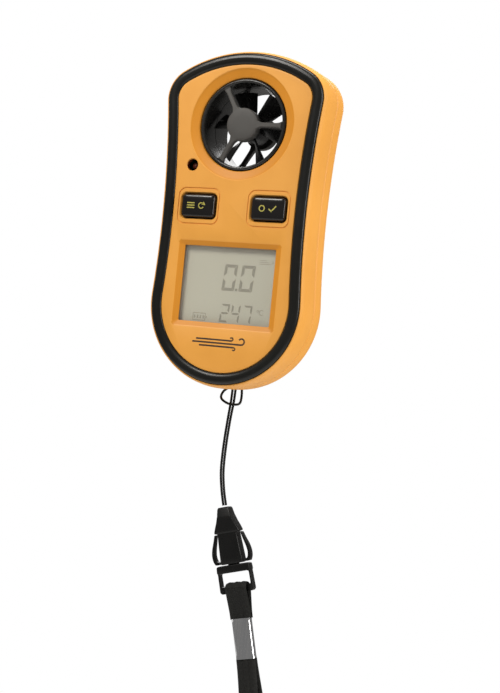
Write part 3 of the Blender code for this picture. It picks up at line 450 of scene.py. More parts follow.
def stepped(rings, centre):
    """A loft of rounded rectangles: each ring is (width, height, corner radius, depth)."""
    return loft(
        [[(x, y, z) for x, z in rounded_rectangle(w, h, r, 8, centre)] for w, h, r, y in rings]
    )


def rounded(profile, radius, steps=4):
    """The same open profile with its inner corners rounded off."""
    points = [Vector(point) for point in profile]
    result = [points[0]]
    for before, corner, after in zip(points, points[1:], points[2:]):
        reach = min(radius, (before - corner).length * 0.45, (after - corner).length * 0.45)
        start = corner + (before - corner).normalized() * reach
        end = corner + (after - corner).normalized() * reach
        for i in range(steps + 1):
            t = i / steps
            result.append(start * (1 - t) ** 2 + corner * 2 * t * (1 - t) + end * t**2)
    return [tuple(point) for point in result + [points[-1]]]


def smooth_route(points, steps):
    """Catmull-Rom points through a route."""
    padded = [points[0], *points, points[-1]]
    result = []
    for a, b, c, d in zip(padded, padded[1:], padded[2:], padded[3:]):
        a, b, c, d = Vector(a), Vector(b), Vector(c), Vector(d)
        for i in range(steps):
            t = i / steps
            bend = (2 * a - 5 * b + 4 * c - d) * t + (3 * b - a - 3 * c + d) * t * t + (c - a)
            result.append(b + bend * t / 2)
    result.append(Vector(points[-1]))
    return result


# ---------------------------------------------------------------- casing outline


def casing_centres():
    """Centres of the top, shoulder, waist and bottom arcs on the +X side."""
    top = Vector((0.0, TOP_Z - TOP_RADIUS))
    bottom = Vector((0.0, BOTTOM_Z + BOTTOM_RADIUS))
    rise = (WAIST_Z - bottom.y) ** 2 - (BOTTOM_RADIUS**2 - WAIST_HALF**2)
    waist_radius = rise / (2 * (BOTTOM_RADIUS - WAIST_HALF))
    waist = Vector((WAIST_HALF + waist_radius, WAIST_Z))
    from_top = TOP_RADIUS - SHOULDER_RADIUS
    from_waist = waist_radius + SHOULDER_RADIUS
    across = waist - top
    along = (from_top**2 - from_waist**2 + across.length_squared) / (2 * across.length)
    aside = math.sqrt(from_top**2 - along**2)
    unit = across.normalized()
    shoulder = top + unit * along + Vector((-unit.y, unit.x)) * aside
    return top, shoulder, waist, bottom, waist_radius


def direction(from_point, to_point):
    return math.atan2(to_point.y - from_point.y, to_point.x - from_point.x)


def casing_outline(inset=0.0):
    """(x, z) points of the casing's outline, moved inwards by inset."""
    top, shoulder, waist, bottom, waist_radius = casing_centres()
    to_shoulder = direction(top, shoulder)
    to_waist = direction(shoulder, waist)
    from_waist = direction(waist, bottom) % math.tau
    half = arc(top, TOP_RADIUS - inset, math.pi / 2, to_shoulder, ARC_STEPS["top"])
    half += arc(shoulder, SHOULDER_RADIUS - inset, to_shoulder, to_waist, ARC_STEPS["shoulder"])[1:]
    half += arc(waist, waist_radius + inset, to_waist + math.pi, from_waist, ARC_STEPS["waist"])[1:]
    half += arc(bottom, BOTTOM_RADIUS - inset, from_waist - math.pi, -math.pi / 2, ARC_STEPS["bottom"])[1:]
    return half + [(-x, z) for x, z in half[-2:0:-1]]


def swept(profile, closed=False):
    """Carries a profile of (inset, depth) points round the casing's outline."""
    return loft([[(x, depth, z) for x, z in casing_outline(inset)] for inset, depth in profile], closed)


# ---------------------------------------------------------------- casing


def front_cover():
    seat = -7.9
    outside = [
        (5.6, FACE_Y), (4.72, FACE_Y), (4.66, seat), (1.2, seat), (1.14, -8.88), (0.78, -8.78),
        (0.30, -7.4), (0.05, -5.6), (0.0, -4.2), (0.0, PARTING_Y - GAP / 2 - 0.25),
        (0.25, PARTING_Y - GAP / 2),
    ]
    inside = [
        (WALL, PARTING_Y - GAP / 2), (WALL, -6.3), (5.8, -6.3), (5.8, FACE_Y + WALL),
    ]
    shell = swept(rounded(outside, 0.28) + inside)
    rim = DUCT_OUTER + 0.25
    dish = [
        (0.0, FACE_Y - 1.0), (DISH_RADIUS + 0.9, FACE_Y - 1.0),
        (DISH_RADIUS + 0.25, FACE_Y - 0.05), (DISH_RADIUS - 0.45, FACE_Y + 0.35),
        (rim + 0.9, FACE_Y + DISH_DEPTH - 0.05), (rim, FACE_Y + DISH_DEPTH + 0.25), (rim, 3.0),
        (0.0, 3.0),
    ]
    cutters = [moved(turned(rounded(dish, 0.35), 128), (0, 0, FAN_Z))]
    lip = SENSOR_HOLE_RADIUS
    hole = [(0.0, -12), (lip + 2.7, -12), (lip + 0.2, FACE_Y), (lip, FACE_Y + 0.3)]
    hole += [(lip, -5), (0.0, -5)]
    cutters.append(moved(turned(hole, 48), (SENSOR_X, 0, SENSOR_Z)))
    for side in (-1, 1):
        key = (side * KEY_X, KEY_Z)
        w, h = MOAT_SIZE
        groove = stepped([(w, h, 2.5, y) for y in (-12, FACE_Y + 0.22)], key)
        w, h = w - 0.8, h - 0.8
        plug = stepped([(w, h, 2.1, y) for y in (-13, -5)], key)
        cutters.append(combined(groove, "DIFFERENCE", plug))
        w, h = KEY_SIZE
        opening = [
            (w + 3.0, h + 3.0, 2.4, -12), (w + 1.5, h + 1.5, 1.9, FACE_Y - 0.02),
            (w + 0.9, h + 0.9, 1.6, FACE_Y + 0.28), (w + 0.6, h + 0.6, 1.4, FACE_Y + 0.6),
            (w + 0.6, h + 0.6, 1.4, -5),
        ]
        cutters.append(stepped(opening, key))
    w, h = DISPLAY_BEVEL
    inner_w, inner_h = DISPLAY_OPENING
    display = [
        (w + 2.4, h + 2.4, 2.6, -12), (w + 0.7, h + 0.7, 1.9, FACE_Y - 0.02),
        (w - 0.1, h - 0.1, 1.5, FACE_Y + 0.14), (w - 1.0, h - 0.9, 1.1, FACE_Y + 0.34),
        (inner_w + 0.5, inner_h + 0.4, 0.6, FACE_Y + 0.60), (inner_w, inner_h, 0.4, FACE_Y + 0.75),
        (inner_w, inner_h, 0.4, -6.6), (inner_w, inner_h, 0.4, -5),
    ]
    cutters.append(stepped(display, (0.0, DISPLAY_Z)))
    seat_rings = [(35.0, 27.8, 0.8, y) for y in (-8.35, -5.5)]
    cutters.append(stepped(seat_rings, (0.0, DISPLAY_Z)))
    shell = combined(shell, "DIFFERENCE", *cutters)
    cover = piece("front_shell", shell, ORANGE, "casing", ("front_cover",))
    dish_painted_shade(cover)


def dish_painted_shade(cover):
    """The recessed faces of the dish and the display's frame get a slightly deeper orange as painted shade;
    the sensor's hole is dark red.
    """
    cover.data.materials.append(ORANGE_PAINTED_SHADE)
    cover.data.materials.append(SENSOR)
    w, h = DISPLAY_BEVEL
    for face in cover.data.polygons:
        x, y, z = face.center / MM
        in_dish = math.hypot(x, z - FAN_Z) < DISH_RADIUS - 0.1 and y < FACE_Y + DISH_DEPTH + 0.4
        in_frame = abs(x) < w / 2 and abs(z - DISPLAY_Z) < h / 2
        # Painted shade: faces sunk below the face plate in the dish and the display's frame take the darker
        # orange.
        if y > FACE_Y + 0.06 and (in_dish or in_frame):
            face.material_index = 1
        if math.hypot(x - SENSOR_X, z - SENSOR_Z) < SENSOR_HOLE_RADIUS + 0.1 and y > FACE_Y + 0.32:
            face.material_index = 2


def rear_cover():
    outside = [
        (6.4, BACK_Y), (5.2, BACK_Y), (3.4, 9.8), (1.9, 9.1), (0.8, 7.9), (0.2, 6.3), (0.0, 4.6),
        (0.0, PARTING_Y + GAP / 2 + 0.25), (0.25, PARTING_Y + GAP / 2),
    ]
    inside = [
        (WALL, PARTING_Y + GAP / 2), (WALL, 4.8), (2.3, 6.4), (3.6, 7.7), (6.4, BACK_Y - WALL),
    ]
    shell = swept(rounded(outside, 0.9) + inside)
    bosses = [cylinder(2.7, 0.8, 8.7, x, z, 32) for x, z in CASE_SCREWS]
    bosses.append(box((10.4, 5.8, 5.0), (0, 6.1, -48.9)))
    shell = combined(shell, "UNION", *bosses)
    rim = DUCT_OUTER + 0.25
    duct = [(0.0, 12), (rim + 1.9, 12), (rim + 0.35, BACK_Y), (rim, BACK_Y - 0.5)]
    duct += [(rim, -2), (0.0, -2)]
    cutters = [moved(turned(duct, 128), (0, 0, FAN_Z))]
    rim = DOOR_RADIUS + 0.3
    door = [(0.0, 12), (rim + 1.6, 12), (rim + 0.3, BACK_Y), (rim, BACK_Y - 0.4)]
    door += [(rim, 5), (0.0, 5)]
    cutters.append(moved(turned(door, 128), (0, 0, BATTERY_Z)))
    notch = box((27.6, 6.0, 4.6), (0, 9.5, 0))
    cutters.append(moved(notch, (0, 0, BATTERY_Z), about("Y", 45)))
    cutters.append(box((8.4, 8.0, 6.6), (0, 8.1, -50.75)))
    for x, z in CASE_SCREWS:
        bore = [(0.0, 12), (4.6, 12), (2.65, BACK_Y), (2.4, BACK_Y - 0.35)]
        bore += [(2.4, 7.9), (1.15, 7.9), (1.15, -2), (0.0, -2)]
        cutters.append(moved(turned(bore, 40), (x, 0, z)))
    shell = combined(shell, "DIFFERENCE", *cutters)
    rod = cylinder(BAR_RADIUS, -4.6, 4.6, 0, 0, 32)
    shell = combined(shell, "UNION", moved(rod, (0, BAR_Y, BAR_Z), about("Z", 90)))
    piece("rear_shell", shell, ORANGE, "casing", ("rear_cover",))


def rim_band():
    floor = -8.2
    profile = [
        (1.25, floor), (1.25, -8.95), (1.42, -9.42), (1.95, -9.82), (2.75, -10.0), (3.55, -9.93),
        (4.12, -9.74), (4.6, -9.32), (4.6, floor),
    ]
    strip = swept(rounded(profile, 0.2, 3), True)
    piece("rim_band_strip", strip, BAND, "casing", ("rim_band",))


front_cover()
rear_cover()
rim_band()


# ---------------------------------------------------------------- fan


def fan_housing(name, node, outer_end, sign):
    """Half of the duct: its wall with a rolled lip, the domed hub and three flared spokes."""
    middle = sign * 0.15
    lip = outer_end - sign * 0.55
    wall = [
        (DUCT_OUTER, middle), (DUCT_OUTER, lip), (DUCT_OUTER - 0.08, lip + sign * 0.28),
        (DUCT_OUTER - 0.32, lip + sign * 0.48), (DUCT_OUTER - 0.58, outer_end),
        (DUCT_INNER + 0.32, lip + sign * 0.48), (DUCT_INNER + 0.08, lip + sign * 0.28),
        (DUCT_INNER, lip), (DUCT_INNER, middle),
    ]
    shell = turned(wall, 128)
    hub = [
        (0.0, sign * HUB_FACE), (2.5, sign * (HUB_FACE - 0.02)), (4.3, sign * (HUB_FACE - 0.09)),
        (4.85, sign * (HUB_FACE - 0.24)), (5.08, sign * (HUB_FACE - 0.46)),
        (GUARD_HUB_RADIUS, sign * (HUB_FACE - 0.8)), (GUARD_HUB_RADIUS, sign * 6.1),
        (2.3, sign * 6.1), (2.3, sign * 4.9), (1.6, sign * 4.9), (1.6, sign * 6.75),
        (0.0, sign * 6.75),
    ]
    bars = [turned(hub, 96)]
    start = GUARD_HUB_RADIUS - 0.6
    reach = DUCT_INNER + 0.5
    for i in range(SPOKES):
        rings = []
        for step in range(21):
            along = start + (reach - start) * step / 20
            near_hub = max(0.0, 1 - (along - start) / (2.4))
            near_wall = max(0.0, 1 - (reach - along) / (2.6))
            half = SPOKE_WIDTH / 2 * (1 + 1.3 * near_hub**2 + 1.3 * near_wall**2)
            share = (along - start) / (reach - start)
            crest = sign * (SPOKE_CREST[0] + (SPOKE_CREST[1] - SPOKE_CREST[0]) * share)
            foot = sign * SPOKE_FOOT
            shoulder = crest - sign * 0.22
            rings.append(
                [
                    (along, foot, -half * 0.92), (along, shoulder, -half),
                    (along, crest, -half + 0.25), (along, crest, half - 0.25),
                    (along, shoulder, half), (along, foot, half * 0.92),
                ]
            )
        bars.append(moved(loft(rings), turn=about("Y", 360 * i / SPOKES)))
    housing = combined(shell, "UNION", *bars)
    made = piece(name, moved(housing, (0, 0, FAN_Z)), DUCT_BLACK, "casing", (node,))
    made.data.materials.append(GUARD_GREY)
    for face in made.data.polygons:
        x, y, z = face.center / MM
        inside = math.hypot(x, z - FAN_Z) < DUCT_INNER - 0.25
        if inside and sign * y > 6.0:
            face.material_index = 1


def impeller():
    half = 4.4
    hub = [
        (0.65, -half), (2.8, -half), (3.6, -half + 0.12), (4.05, -half + 0.45),
        (IMPELLER_HUB_RADIUS, -half + 0.9), (IMPELLER_HUB_RADIUS, half), (3.3, half), (3.3, 2.9),
        (1.2, 2.9), (1.2, half), (0.65, half),
    ]
    root = IMPELLER_HUB_RADIUS - 0.5
    blades = []
    for index in range(BLADES):
        rows = []
        for j in range(15):
            along = -1 + 2 * j / 14
            edge = math.sqrt(max(0.0, 1 - abs(along) ** 6))
            thick = (0.14 + 0.24 * edge)
            ring = []
            for radius in [root + (BLADE_TIP - root) * k / 8 for k in range(9)]:
                ring.append((radius, thick * (1 - 0.25 * (radius - root) / (BLADE_TIP - root))))
            turn = BLADE_START + math.tau * index / BLADES + BLADE_TWIST * along / 2
            lean = math.atan2(BLADE_TWIST * 8.0, 2 * BLADE_HALF_DEPTH)
            points = []
            for side, ordered in ((1, ring), (-1, ring[::-1])):
                for radius, t in ordered:
                    angle = turn + side * t * math.cos(lean) / radius
                    depth = BLADE_HALF_DEPTH * along - side * t * math.sin(lean)
                    points.append((radius * math.cos(angle), depth, radius * math.sin(angle)))
            rows.append(points)
        blades.append(loft(rows))
    wheel = combined(turned(hub, 96), "UNION", *blades)
    wheel = moved(wheel, (0, 0, FAN_Z))
    piece("fan_wheel", wheel, VANE_BLACK, "impeller", ("impeller",))


fan_housing("fan_guard_front", "fan_housing_front", -8.5, -1)
fan_housing("fan_guard_rear", "fan_housing_rear", 9.7, 1)
impeller()


# ---------------------------------------------------------------- keys and display


def raised(shapes, low, high):
    """Thin plates, one per outline of (x, z) points, from depth low up to depth high."""
    whole = bmesh.new()
    for outline in shapes:
        mesh = mesh_of("scratch", prism(outline, high, low))
        whole.from_mesh(mesh)
        bpy.data.meshes.remove(mesh)
    return whole


def bar(x0, z0, x1, z1, width):
    """A straight stroke between two points, in millimetres."""
    along = Vector((x1 - x0, z1 - z0)).normalized() * width / 2
    side = Vector((-along.y, along.x))
    start, end = Vector((x0, z0)), Vector((x1, z1))
    return [tuple(point) for point in (start + side, start - side, end - side, end + side)]


def hoop(x, z, radius, width, start=0.0, end=360.0, steps=24):
    """A ring or part of one, in millimetres and degrees, as a run of short strokes."""
    points = arc((x, z), radius, math.radians(start), math.radians(end), steps)
    return [bar(*a, *b, width) for a, b in zip(points, points[1:])]


def key_cap(name, side, signs):
    place = (side * KEY_X, KEY_Z)
    w, h = KEY_SIZE
    rings = [
        (w - 6.0, h - 5.0, 0.7, KEY_FRONT_Y), (w - 3.6, h - 3.0, 0.8, KEY_FRONT_Y + 0.015),
        (w - 1.9, h - 1.7, 0.85, KEY_FRONT_Y + 0.07), (w - 1.1, h - 1.0, 0.9, KEY_FRONT_Y + 0.18),
        (w - 0.55, h - 0.5, 1.0, KEY_FRONT_Y + 0.4), (w - 0.2, h - 0.2, 1.05, KEY_FRONT_Y + 0.75),
        (w, h, 1.1, KEY_FRONT_Y + 1.2), (w, h, 1.1, -7.2), (w + 2.0, h + 2.0, 1.1, -7.2),
        (w + 2.0, h + 2.0, 1.1, -6.4), (3.0, 3.0, 1.2, -6.4), (3.0, 3.0, 1.45, -5.5),
    ]
    piece(f"{name}_cap", stepped(rings, place), KEY_BLACK, name, (name,), 40)
    top = KEY_FRONT_Y + 0.02
    legend = raised(signs, top, KEY_FRONT_Y - 0.02)
    piece(f"{name}_legend", legend, LEGEND, name)


def mode_signs():
    """Three stacked bars and a turning arrow: step through the readings."""
    x, z = -12.4, 3.3
    signs = [bar(x - 3.0, z + 0.75 * row, x - 0.4, z + 0.75 * row, 0.34) for row in (-1, 0, 1)]
    signs += hoop(x + 1.9, z, 0.85, 0.32, 40, 330)
    head = ((x + 3.3, z + 0.2), (x + 1.95, z + 0.35), (x + 2.7, z + 1.25))
    return signs + [[(px, pz) for px, pz in head]]


def set_signs():
    """A ring and a tick: set the chosen value."""
    x, z = 11.7, 3.3
    signs = hoop(x - 1.7, z, 0.85, 0.34)
    signs += [bar(x + 0.6, z - 0.1, x + 1.5, z - 0.85, 0.36), bar(x + 1.4, z - 0.85, x + 3.0, z + 0.85, 0.36)]
    return signs


SEGMENTS = {"0": "abcdef", "2": "abged", "4": "fgbc", "7": "abc"}


def digit(sign, left, low, width, height, stroke, lean):
    """Seven-segment strokes with mitred ends and a small gap between neighbours, leaning by a slope."""
    gap = stroke * 0.07
    half = stroke / 2
    middle = height / 2
    runs = {
        "a": ((0, height), (width, height), (0, -1)),
        "d": ((0, 0), (width, 0), (0, 1)),
        "g": ((0, middle), (width, middle), None),
        "f": ((0, middle), (0, height), (1, 0)),
        "b": ((width, middle), (width, height), (-1, 0)),
        "e": ((0, 0), (0, middle), (1, 0)),
        "c": ((width, 0), (width, middle), (-1, 0)),
    }
    shapes = []
    for letter in SEGMENTS[sign]:
        (x0, z0), (x1, z1), inward = runs[letter]
        run = Vector((x1 - x0, z1 - z0)).normalized()
        start, end = Vector((x0, z0)) + run * gap, Vector((x1, z1)) - run * gap
        if inward is None:
            side = Vector((0, half))
            corners = [
                start + run * half * 0.3,
                start + run * (half + stroke * 0.5) + side,
                end - run * (half + stroke * 0.5) + side,
                end - run * half * 0.3,
                end - run * (half + stroke * 0.5) - side,
                start + run * (half + stroke * 0.5) - side,
            ]
        else:
            into = Vector(inward) * stroke
            corners = [start, end, end - run * stroke + into, start + run * stroke + into]
            if letter in "fbec":
                at_middle = start if letter in "fb" else end
                shift = run * (half * 0.6) * (1 if letter in "fb" else -1)
                corners = [
                    point + (shift if (point - at_middle).length < stroke * 1.7 else Vector((0, 0)))
                    for point in corners
                ]
        shapes.append(
            [((left + point.x + lean * point.y), (low + point.y)) for point in corners]
        )
    return shapes


def display():
    low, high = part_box("lcd_panel")
    depth = low[1] / MM
    size = (33.0, 27.0)
    rings = [
        (size[0] - 0.16, size[1] - 0.16, 0.25, depth), (size[0], size[1], 0.3, depth + 0.08),
        (size[0], size[1], 0.3, high[1] / MM - 0.08),
        (size[0] - 0.16, size[1] - 0.16, 0.25, high[1] / MM),
    ]
    centre = (0.0, DISPLAY_Z)
    piece("display_glass", stepped(rings, centre), GLASS_PANEL, "casing", ("lcd_panel",))
    shapes = digit("0", -2.4, -22.3, 4.3, 8.2, 0.95, 0.085)
    shapes += digit("0", 3.4, -22.3, 4.5, 8.2, 0.95, 0.085)
    shapes.append(bar(2.25, -21.85, 3.05, -21.85, 0.8))
    shapes += digit("2", -2.2, -32.1, 2.9, 5.7, 0.62, 0.085)
    shapes += digit("4", 1.45, -32.1, 2.9, 5.7, 0.62, 0.085)
    shapes += digit("7", 5.4, -32.1, 2.9, 5.7, 0.62, 0.085)
    print_at = depth - 0.03
    piece("display_digits", raised(shapes, depth + 0.02, print_at), SEGMENT, "casing")
    cell = [bar(-11.2, -29.8, -7.0, -29.8, 0.24), bar(-11.2, -32.0, -7.0, -32.0, 0.24)]
    cell += [bar(-11.2, -29.8, -11.2, -32.0, 0.24), bar(-7.0, -29.8, -7.0, -32.0, 0.24)]
    cell += [bar(-6.6, -30.5, -6.6, -31.3, 0.3)]
    cell += [bar(-10.6 + 1.0 * i, -30.4, -10.6 + 1.0 * i, -31.4, 0.5) for i in range(4)]
    unit = hoop(10.6, -27.9, 0.32, 0.22, 0, 360, 12) + hoop(11.9, -28.3, 0.75, 0.26, 50, 310, 12)
    speed = [bar(9.6, -13.4 + 0.55 * i, 13.6 - 0.8 * i, -13.4 + 0.55 * i, 0.2) for i in range(3)]
    speed += hoop(13.8, -12.75, 0.35, 0.2, -120, 110, 8)
    marks = raised(cell + unit + speed, depth + 0.02, print_at)
    piece("display_marks", marks, GHOST, "casing")


def window():
    rings = [
        (34.2, 27.0, 0.5, -8.05), (34.4, 27.2, 0.6, -7.95), (34.4, 27.2, 0.6, -7.3),
        (34.2, 27.0, 0.5, -7.2),
    ]
    clear_piece = stepped(rings, (0.0, DISPLAY_Z))
    piece("display_cover", clear_piece, WINDOW, "casing", ("lcd_window",))


def label():
    """A plain sign for moving air in place of the printed name: three curling wind lines."""
    signs = []
    for row, (left, right) in enumerate(((-8.2, 3.8), (-9.4, 7.2), (-7.0, 4.8))):
        z = -37.7 - 1.0 * row
        signs.append(bar(left, z, right, z, 0.5))
        if row == 0:
            signs += hoop(right, z + 0.5, 0.5, 0.44, -90, 150, 10)
        if row == 1:
            signs += hoop(right, z + 0.95, 0.95, 0.5, -90, 150, 12)
        if row == 2:
            signs += hoop(right, z - 0.45, 0.45, 0.42, 90, -150, 10)
    sign = raised(signs, FACE_Y + 0.02, FACE_Y - 0.02)
    piece("wind_sign", sign, PRINT, "casing")


key_cap("key_mode", -1, mode_signs())
key_cap("key_set", 1, set_signs())
display()
window()
label()


# ---------------------------------------------------------------- back


def battery_door():
    disc = [
        (0.0, BACK_Y - 0.1), (DOOR_RADIUS - 0.75, BACK_Y - 0.1),
        (DOOR_RADIUS - 0.35, BACK_Y - 0.18), (DOOR_RADIUS - 0.08, BACK_Y - 0.4),
        (DOOR_RADIUS, BACK_Y - 0.65), (DOOR_RADIUS, 9.2), (DOOR_RADIUS - 1.0, 9.2),
        (DOOR_RADIUS - 1.0, 8.2), (DOOR_RADIUS, 8.2), (DOOR_RADIUS, 7.6), (9.6, 7.6), (9.6, 7.8),
        (0.0, 7.8),
    ]
    lugs = box((26.6, 0.8, 3.8), (0, 7.5, 0))
    well = cylinder(9.6, 5, 7.8, 0, 0, 96)
    door = combined(turned(disc, 128), "UNION", combined(lugs, "DIFFERENCE", well))
    slot = [
        (15.8, 2.8, 1.39, BACK_Y + 1), (15.3, 2.3, 1.14, BACK_Y - 0.1),
        (15.0, 2.0, 0.99, BACK_Y - 0.3), (15.0, 2.0, 0.99, BACK_Y - 1.1),
    ]
    cutters = [stepped(slot[::-1], (0.0, 0.0))]
    # A ring of grip grooves near the rim.
    for i in range(36):
        groove = box((1.5, 0.5, 0.35), (10.6, BACK_Y, 0))
        cutters.append(moved(groove, turn=about("Y", 360 * i / 36)))
    door = combined(door, "DIFFERENCE", *cutters)
    turned_door = moved(door, (0, 0, BATTERY_Z))
    piece("back_door", turned_door, ORANGE, "battery_door", ("battery_door",), 30)


def screw_heads():
    """Pan heads with a cross recess and a countersunk edge, with their shanks."""
    for i, (x, z) in enumerate(CASE_SCREWS):
        profile = [
            (0.0, 9.3), (1.0, 9.28), (1.6, 9.15), (1.95, 8.85), (2.05, 8.5), (2.05, 8.2),
            (0.85, 8.2),
        ]
        for turn in range(20):
            depth = 8.0 - turn * 0.55
            profile += [(0.85, depth), (0.68, (depth - 0.27))]
        profile += [(0.6, -3.2), (0.0, -4.0)]
        crosses = []
        for size in ((0.45, 2.3), (2.3, 0.45)):
            crosses.append(box((size[0], 1.2, size[1]), (0, 9.3, 0)))
        screw = combined(turned(profile, 40), "DIFFERENCE", *crosses)
        node = f"case_screw_{i + 1}"
        piece(f"{node}_steel", moved(screw, (x, 0, z)), STEEL, "casing", (node,), 30)


battery_door()
screw_heads()


# ---------------------------------------------------------------- lanyard


def hung_frame(tilt, place):
    return Matrix.Translation(place) @ Matrix.Rotation(-tilt, 4, "Y")


def webbing_place():
    """The webbing's frame: it hangs nearer to upright, turned about the buckle's bar."""
    bar_at = Vector((0, 0, FRAME_BAR_Z))
    tilted = Matrix.Rotation(-LANYARD_TILT, 3, "Y") @ bar_at
    hung = Matrix.Rotation(-WEBBING_TILT, 3, "Y") @ bar_at
    return Vector(BUCKLE_TOP) + tilted - hung


BUCKLE = hung_frame(LANYARD_TILT, BUCKLE_TOP)
WEBBING = hung_frame(WEBBING_TILT, webbing_place())


def placed(bm, matrix):
    bmesh.ops.transform(bm, matrix=matrix, verts=bm.verts)
    return bm


def softened(bm, width, angle=30.0, segments=3):
    """Rounds every edge sharper than the angle."""
    bmesh.ops.recalc_face_normals(bm, faces=bm.faces)
    sharp = [e for e in bm.edges if e.is_manifold and e.calc_face_angle(0) > math.radians(angle)]
    bmesh.ops.bevel(
        bm, geom=sharp, offset=width, segments=segments, profile=0.5, affect="EDGES", clamp_overlap=True
    )
    return bm


def mirrored(half):
    points = half + [(-x, z) for x, z in reversed(half) if x > 0]
    return [(x, z) for x, z in points]


def stack(sections, corner, steps=8):
    rings = []
    for z, half_width, half_thickness in sections:
        outline = rounded_rectangle(2 * half_width, 2 * half_thickness, corner, steps)
        rings.append([(x, y, z) for x, y in outline])
    return loft(rings)


def curved(points, steps=4):
    """A closed outline of (x, z) points with a smooth curve through them."""
    ring = [Vector(point) for point in points]
    result = []
    for i, b in enumerate(ring):
        a, c, d = ring[i - 1], ring[(i + 1) % len(ring)], ring[(i + 2) % len(ring)]
        for step in range(steps):
            t = step / steps
            bend = (2 * a - 5 * b + 4 * c - d) * t + (3 * b - a - 3 * c + d) * t * t + (c - a)
            result.append(tuple(b + bend * t / 2))
    return result


def buckle():
    socket = stack(SOCKET_SECTIONS, 0.55)
    cavity = stack([(-9.5, 2.1, 1.3), (-17.2, 2.1, 1.3), (-17.95, 2.35, 1.5), (-18.5, 2.35, 1.5)], 0.3, 4)
    cutters = [cavity]
    for face in (-1, 1):
        # A shallow panel on each face, between two low ribs.
        cutters.append(box((3.6, 0.3, 6.6), (0, face * 2.06, -12.9)))
    shell = combined(socket, "DIFFERENCE", *cutters)
    socket_piece = piece(
        "buckle_body", placed(shell, BUCKLE), BUCKLE_BLACK, "casing", ("buckle_socket",)
    )
    base = softened(prism(mirrored(PLUG_FRAME_HALF), -1.1, 1.1), 0.28)
    crossbar = softened(prism(mirrored(PLUG_BAR_HALF), -1.6, 1.6), 0.4)
    base = combined(base, "UNION", crossbar)
    width, height, middle = (size for size in FRAME_OPENING)
    opening = stepped([(width, height, 0.6, y) for y in (-4, 4)], (0, middle))
    relief = [box((9.5, 2.0, 2.4), (0, f * 1.75, FRAME_BAR_Z)) for f in (-1, 1)]
    relief = [softened(block, 0.2) for block in relief]
    base = combined(base, "DIFFERENCE", opening, *relief)
    tongue = softened(box((3.4, 1.8, 8.6), (0, 0, -14.7)), 0.25)
    base = combined(base, "UNION", tongue)
    plug_piece = piece(
        "buckle_frame", placed(base, BUCKLE), BUCKLE_BLACK, "casing", ("buckle_plug",)
    )
    arms = []
    for name, side in (("buckle_arm_left", -1), ("buckle_arm_right", 1)):
        outline = [(side * x, z) for x, z in curved(ARM_HALF, 3)]
        arm = softened(prism(outline, -1.0, 1.0), 0.14, 50)
        arm = moved(arm, (side * ARM_PIVOT_X, 0, -ARM_PIVOT_DROP))
        arms.append(
            piece(f"{name}_spring", placed(arm, BUCKLE), BUCKLE_BLACK, name, (name,))
        )
    return [socket_piece, plug_piece, *arms]


def braid(across, along, width):
    """How far a flat braid's surface lies below its crest: three columns of chevrons."""
    columns = 3
    period = 1.9
    place = (across / width + 0.5) * columns
    offset = abs((place % 1.0) - 0.5) * 2
    strand = abs(math.sin(math.pi * (along / period + 0.55 * offset)))
    return 1 - (1 - offset**3) * (0.25 + 0.75 * strand**0.6)


def band(points, across, width, thickness, depth, samples):
    """A flat braided band along points, its width towards across, as one closed skin."""
    rows = []
    travelled = 0.0
    half = [
        width / 2 * (0.7 * t + 0.3 * math.sin(math.pi / 2 * t))
        for t in [-1 + 2 * i / samples for i in range(samples + 1)]
    ]
    for i, point in enumerate(points):
        before, after = points[max(i - 1, 0)], points[min(i + 1, len(points) - 1)]
        tangent = (after - before).normalized()
        side = (across - across.dot(tangent) * tangent).normalized()
        normal = side.cross(tangent)
        if i:
            travelled += (point - points[i - 1]).length
        ring = []
        for face, ordered in ((1, half), (-1, half[::-1])):
            for u in ordered:
                round_off = math.sqrt(max(0.0, 1 - abs(2 * u / width) ** 5))
                v = face * max(0.08 * thickness, thickness / 2 * round_off)
                v -= face * depth * braid(u, travelled + (0.4 if face < 0 else 0.0), width) * round_off
                ring.append(point + side * u + normal * v)
        rows.append(ring)
    return loft(rows)


def resampled(points, spacing):
    """The same line with points at even distances."""
    lengths = [0.0]
    for a, b in zip(points, points[1:]):
        lengths.append(lengths[-1] + (b - a).length)
    count = max(2, round(lengths[-1] / spacing))
    result = []
    index = 0
    for step in range(count + 1):
        target = lengths[-1] * step / count
        while index < len(points) - 2 and lengths[index + 1] < target:
            index += 1
        share = (target - lengths[index]) / (lengths[index + 1] - lengths[index])
        result.append(points[index].lerp(points[index + 1], share))
    return result, lengths[-1]


def strap_tab():
    """The webbing that loops round the buckle's bar, its two ends pressed together in the clamp."""
    lower = -CLAMP_TOP_DROP - 0.2
    crown = arc((0.0, FRAME_BAR_Z), 1.9, math.pi, 0.0, 24)
    route = [(-0.55, lower), (-0.6, lower + 1.2), (-0.78, lower + 3.0), *crown]
    route += [(0.78, lower + 3.0), (0.6, lower + 1.2), (0.55, lower)]
    points = [WEBBING @ Vector((0, y, z)) for y, z in route]
    points, _ = resampled(smooth_route(points, 6), 0.2)
    skin = band(points, WEBBING.to_3x3() @ Vector((1, 0, 0)), TAB_WIDTH, 0.95, 0.32, 24)
    return piece("tab_webbing", skin, STRAP_BLACK, "casing", ("strap_tab",), 60)


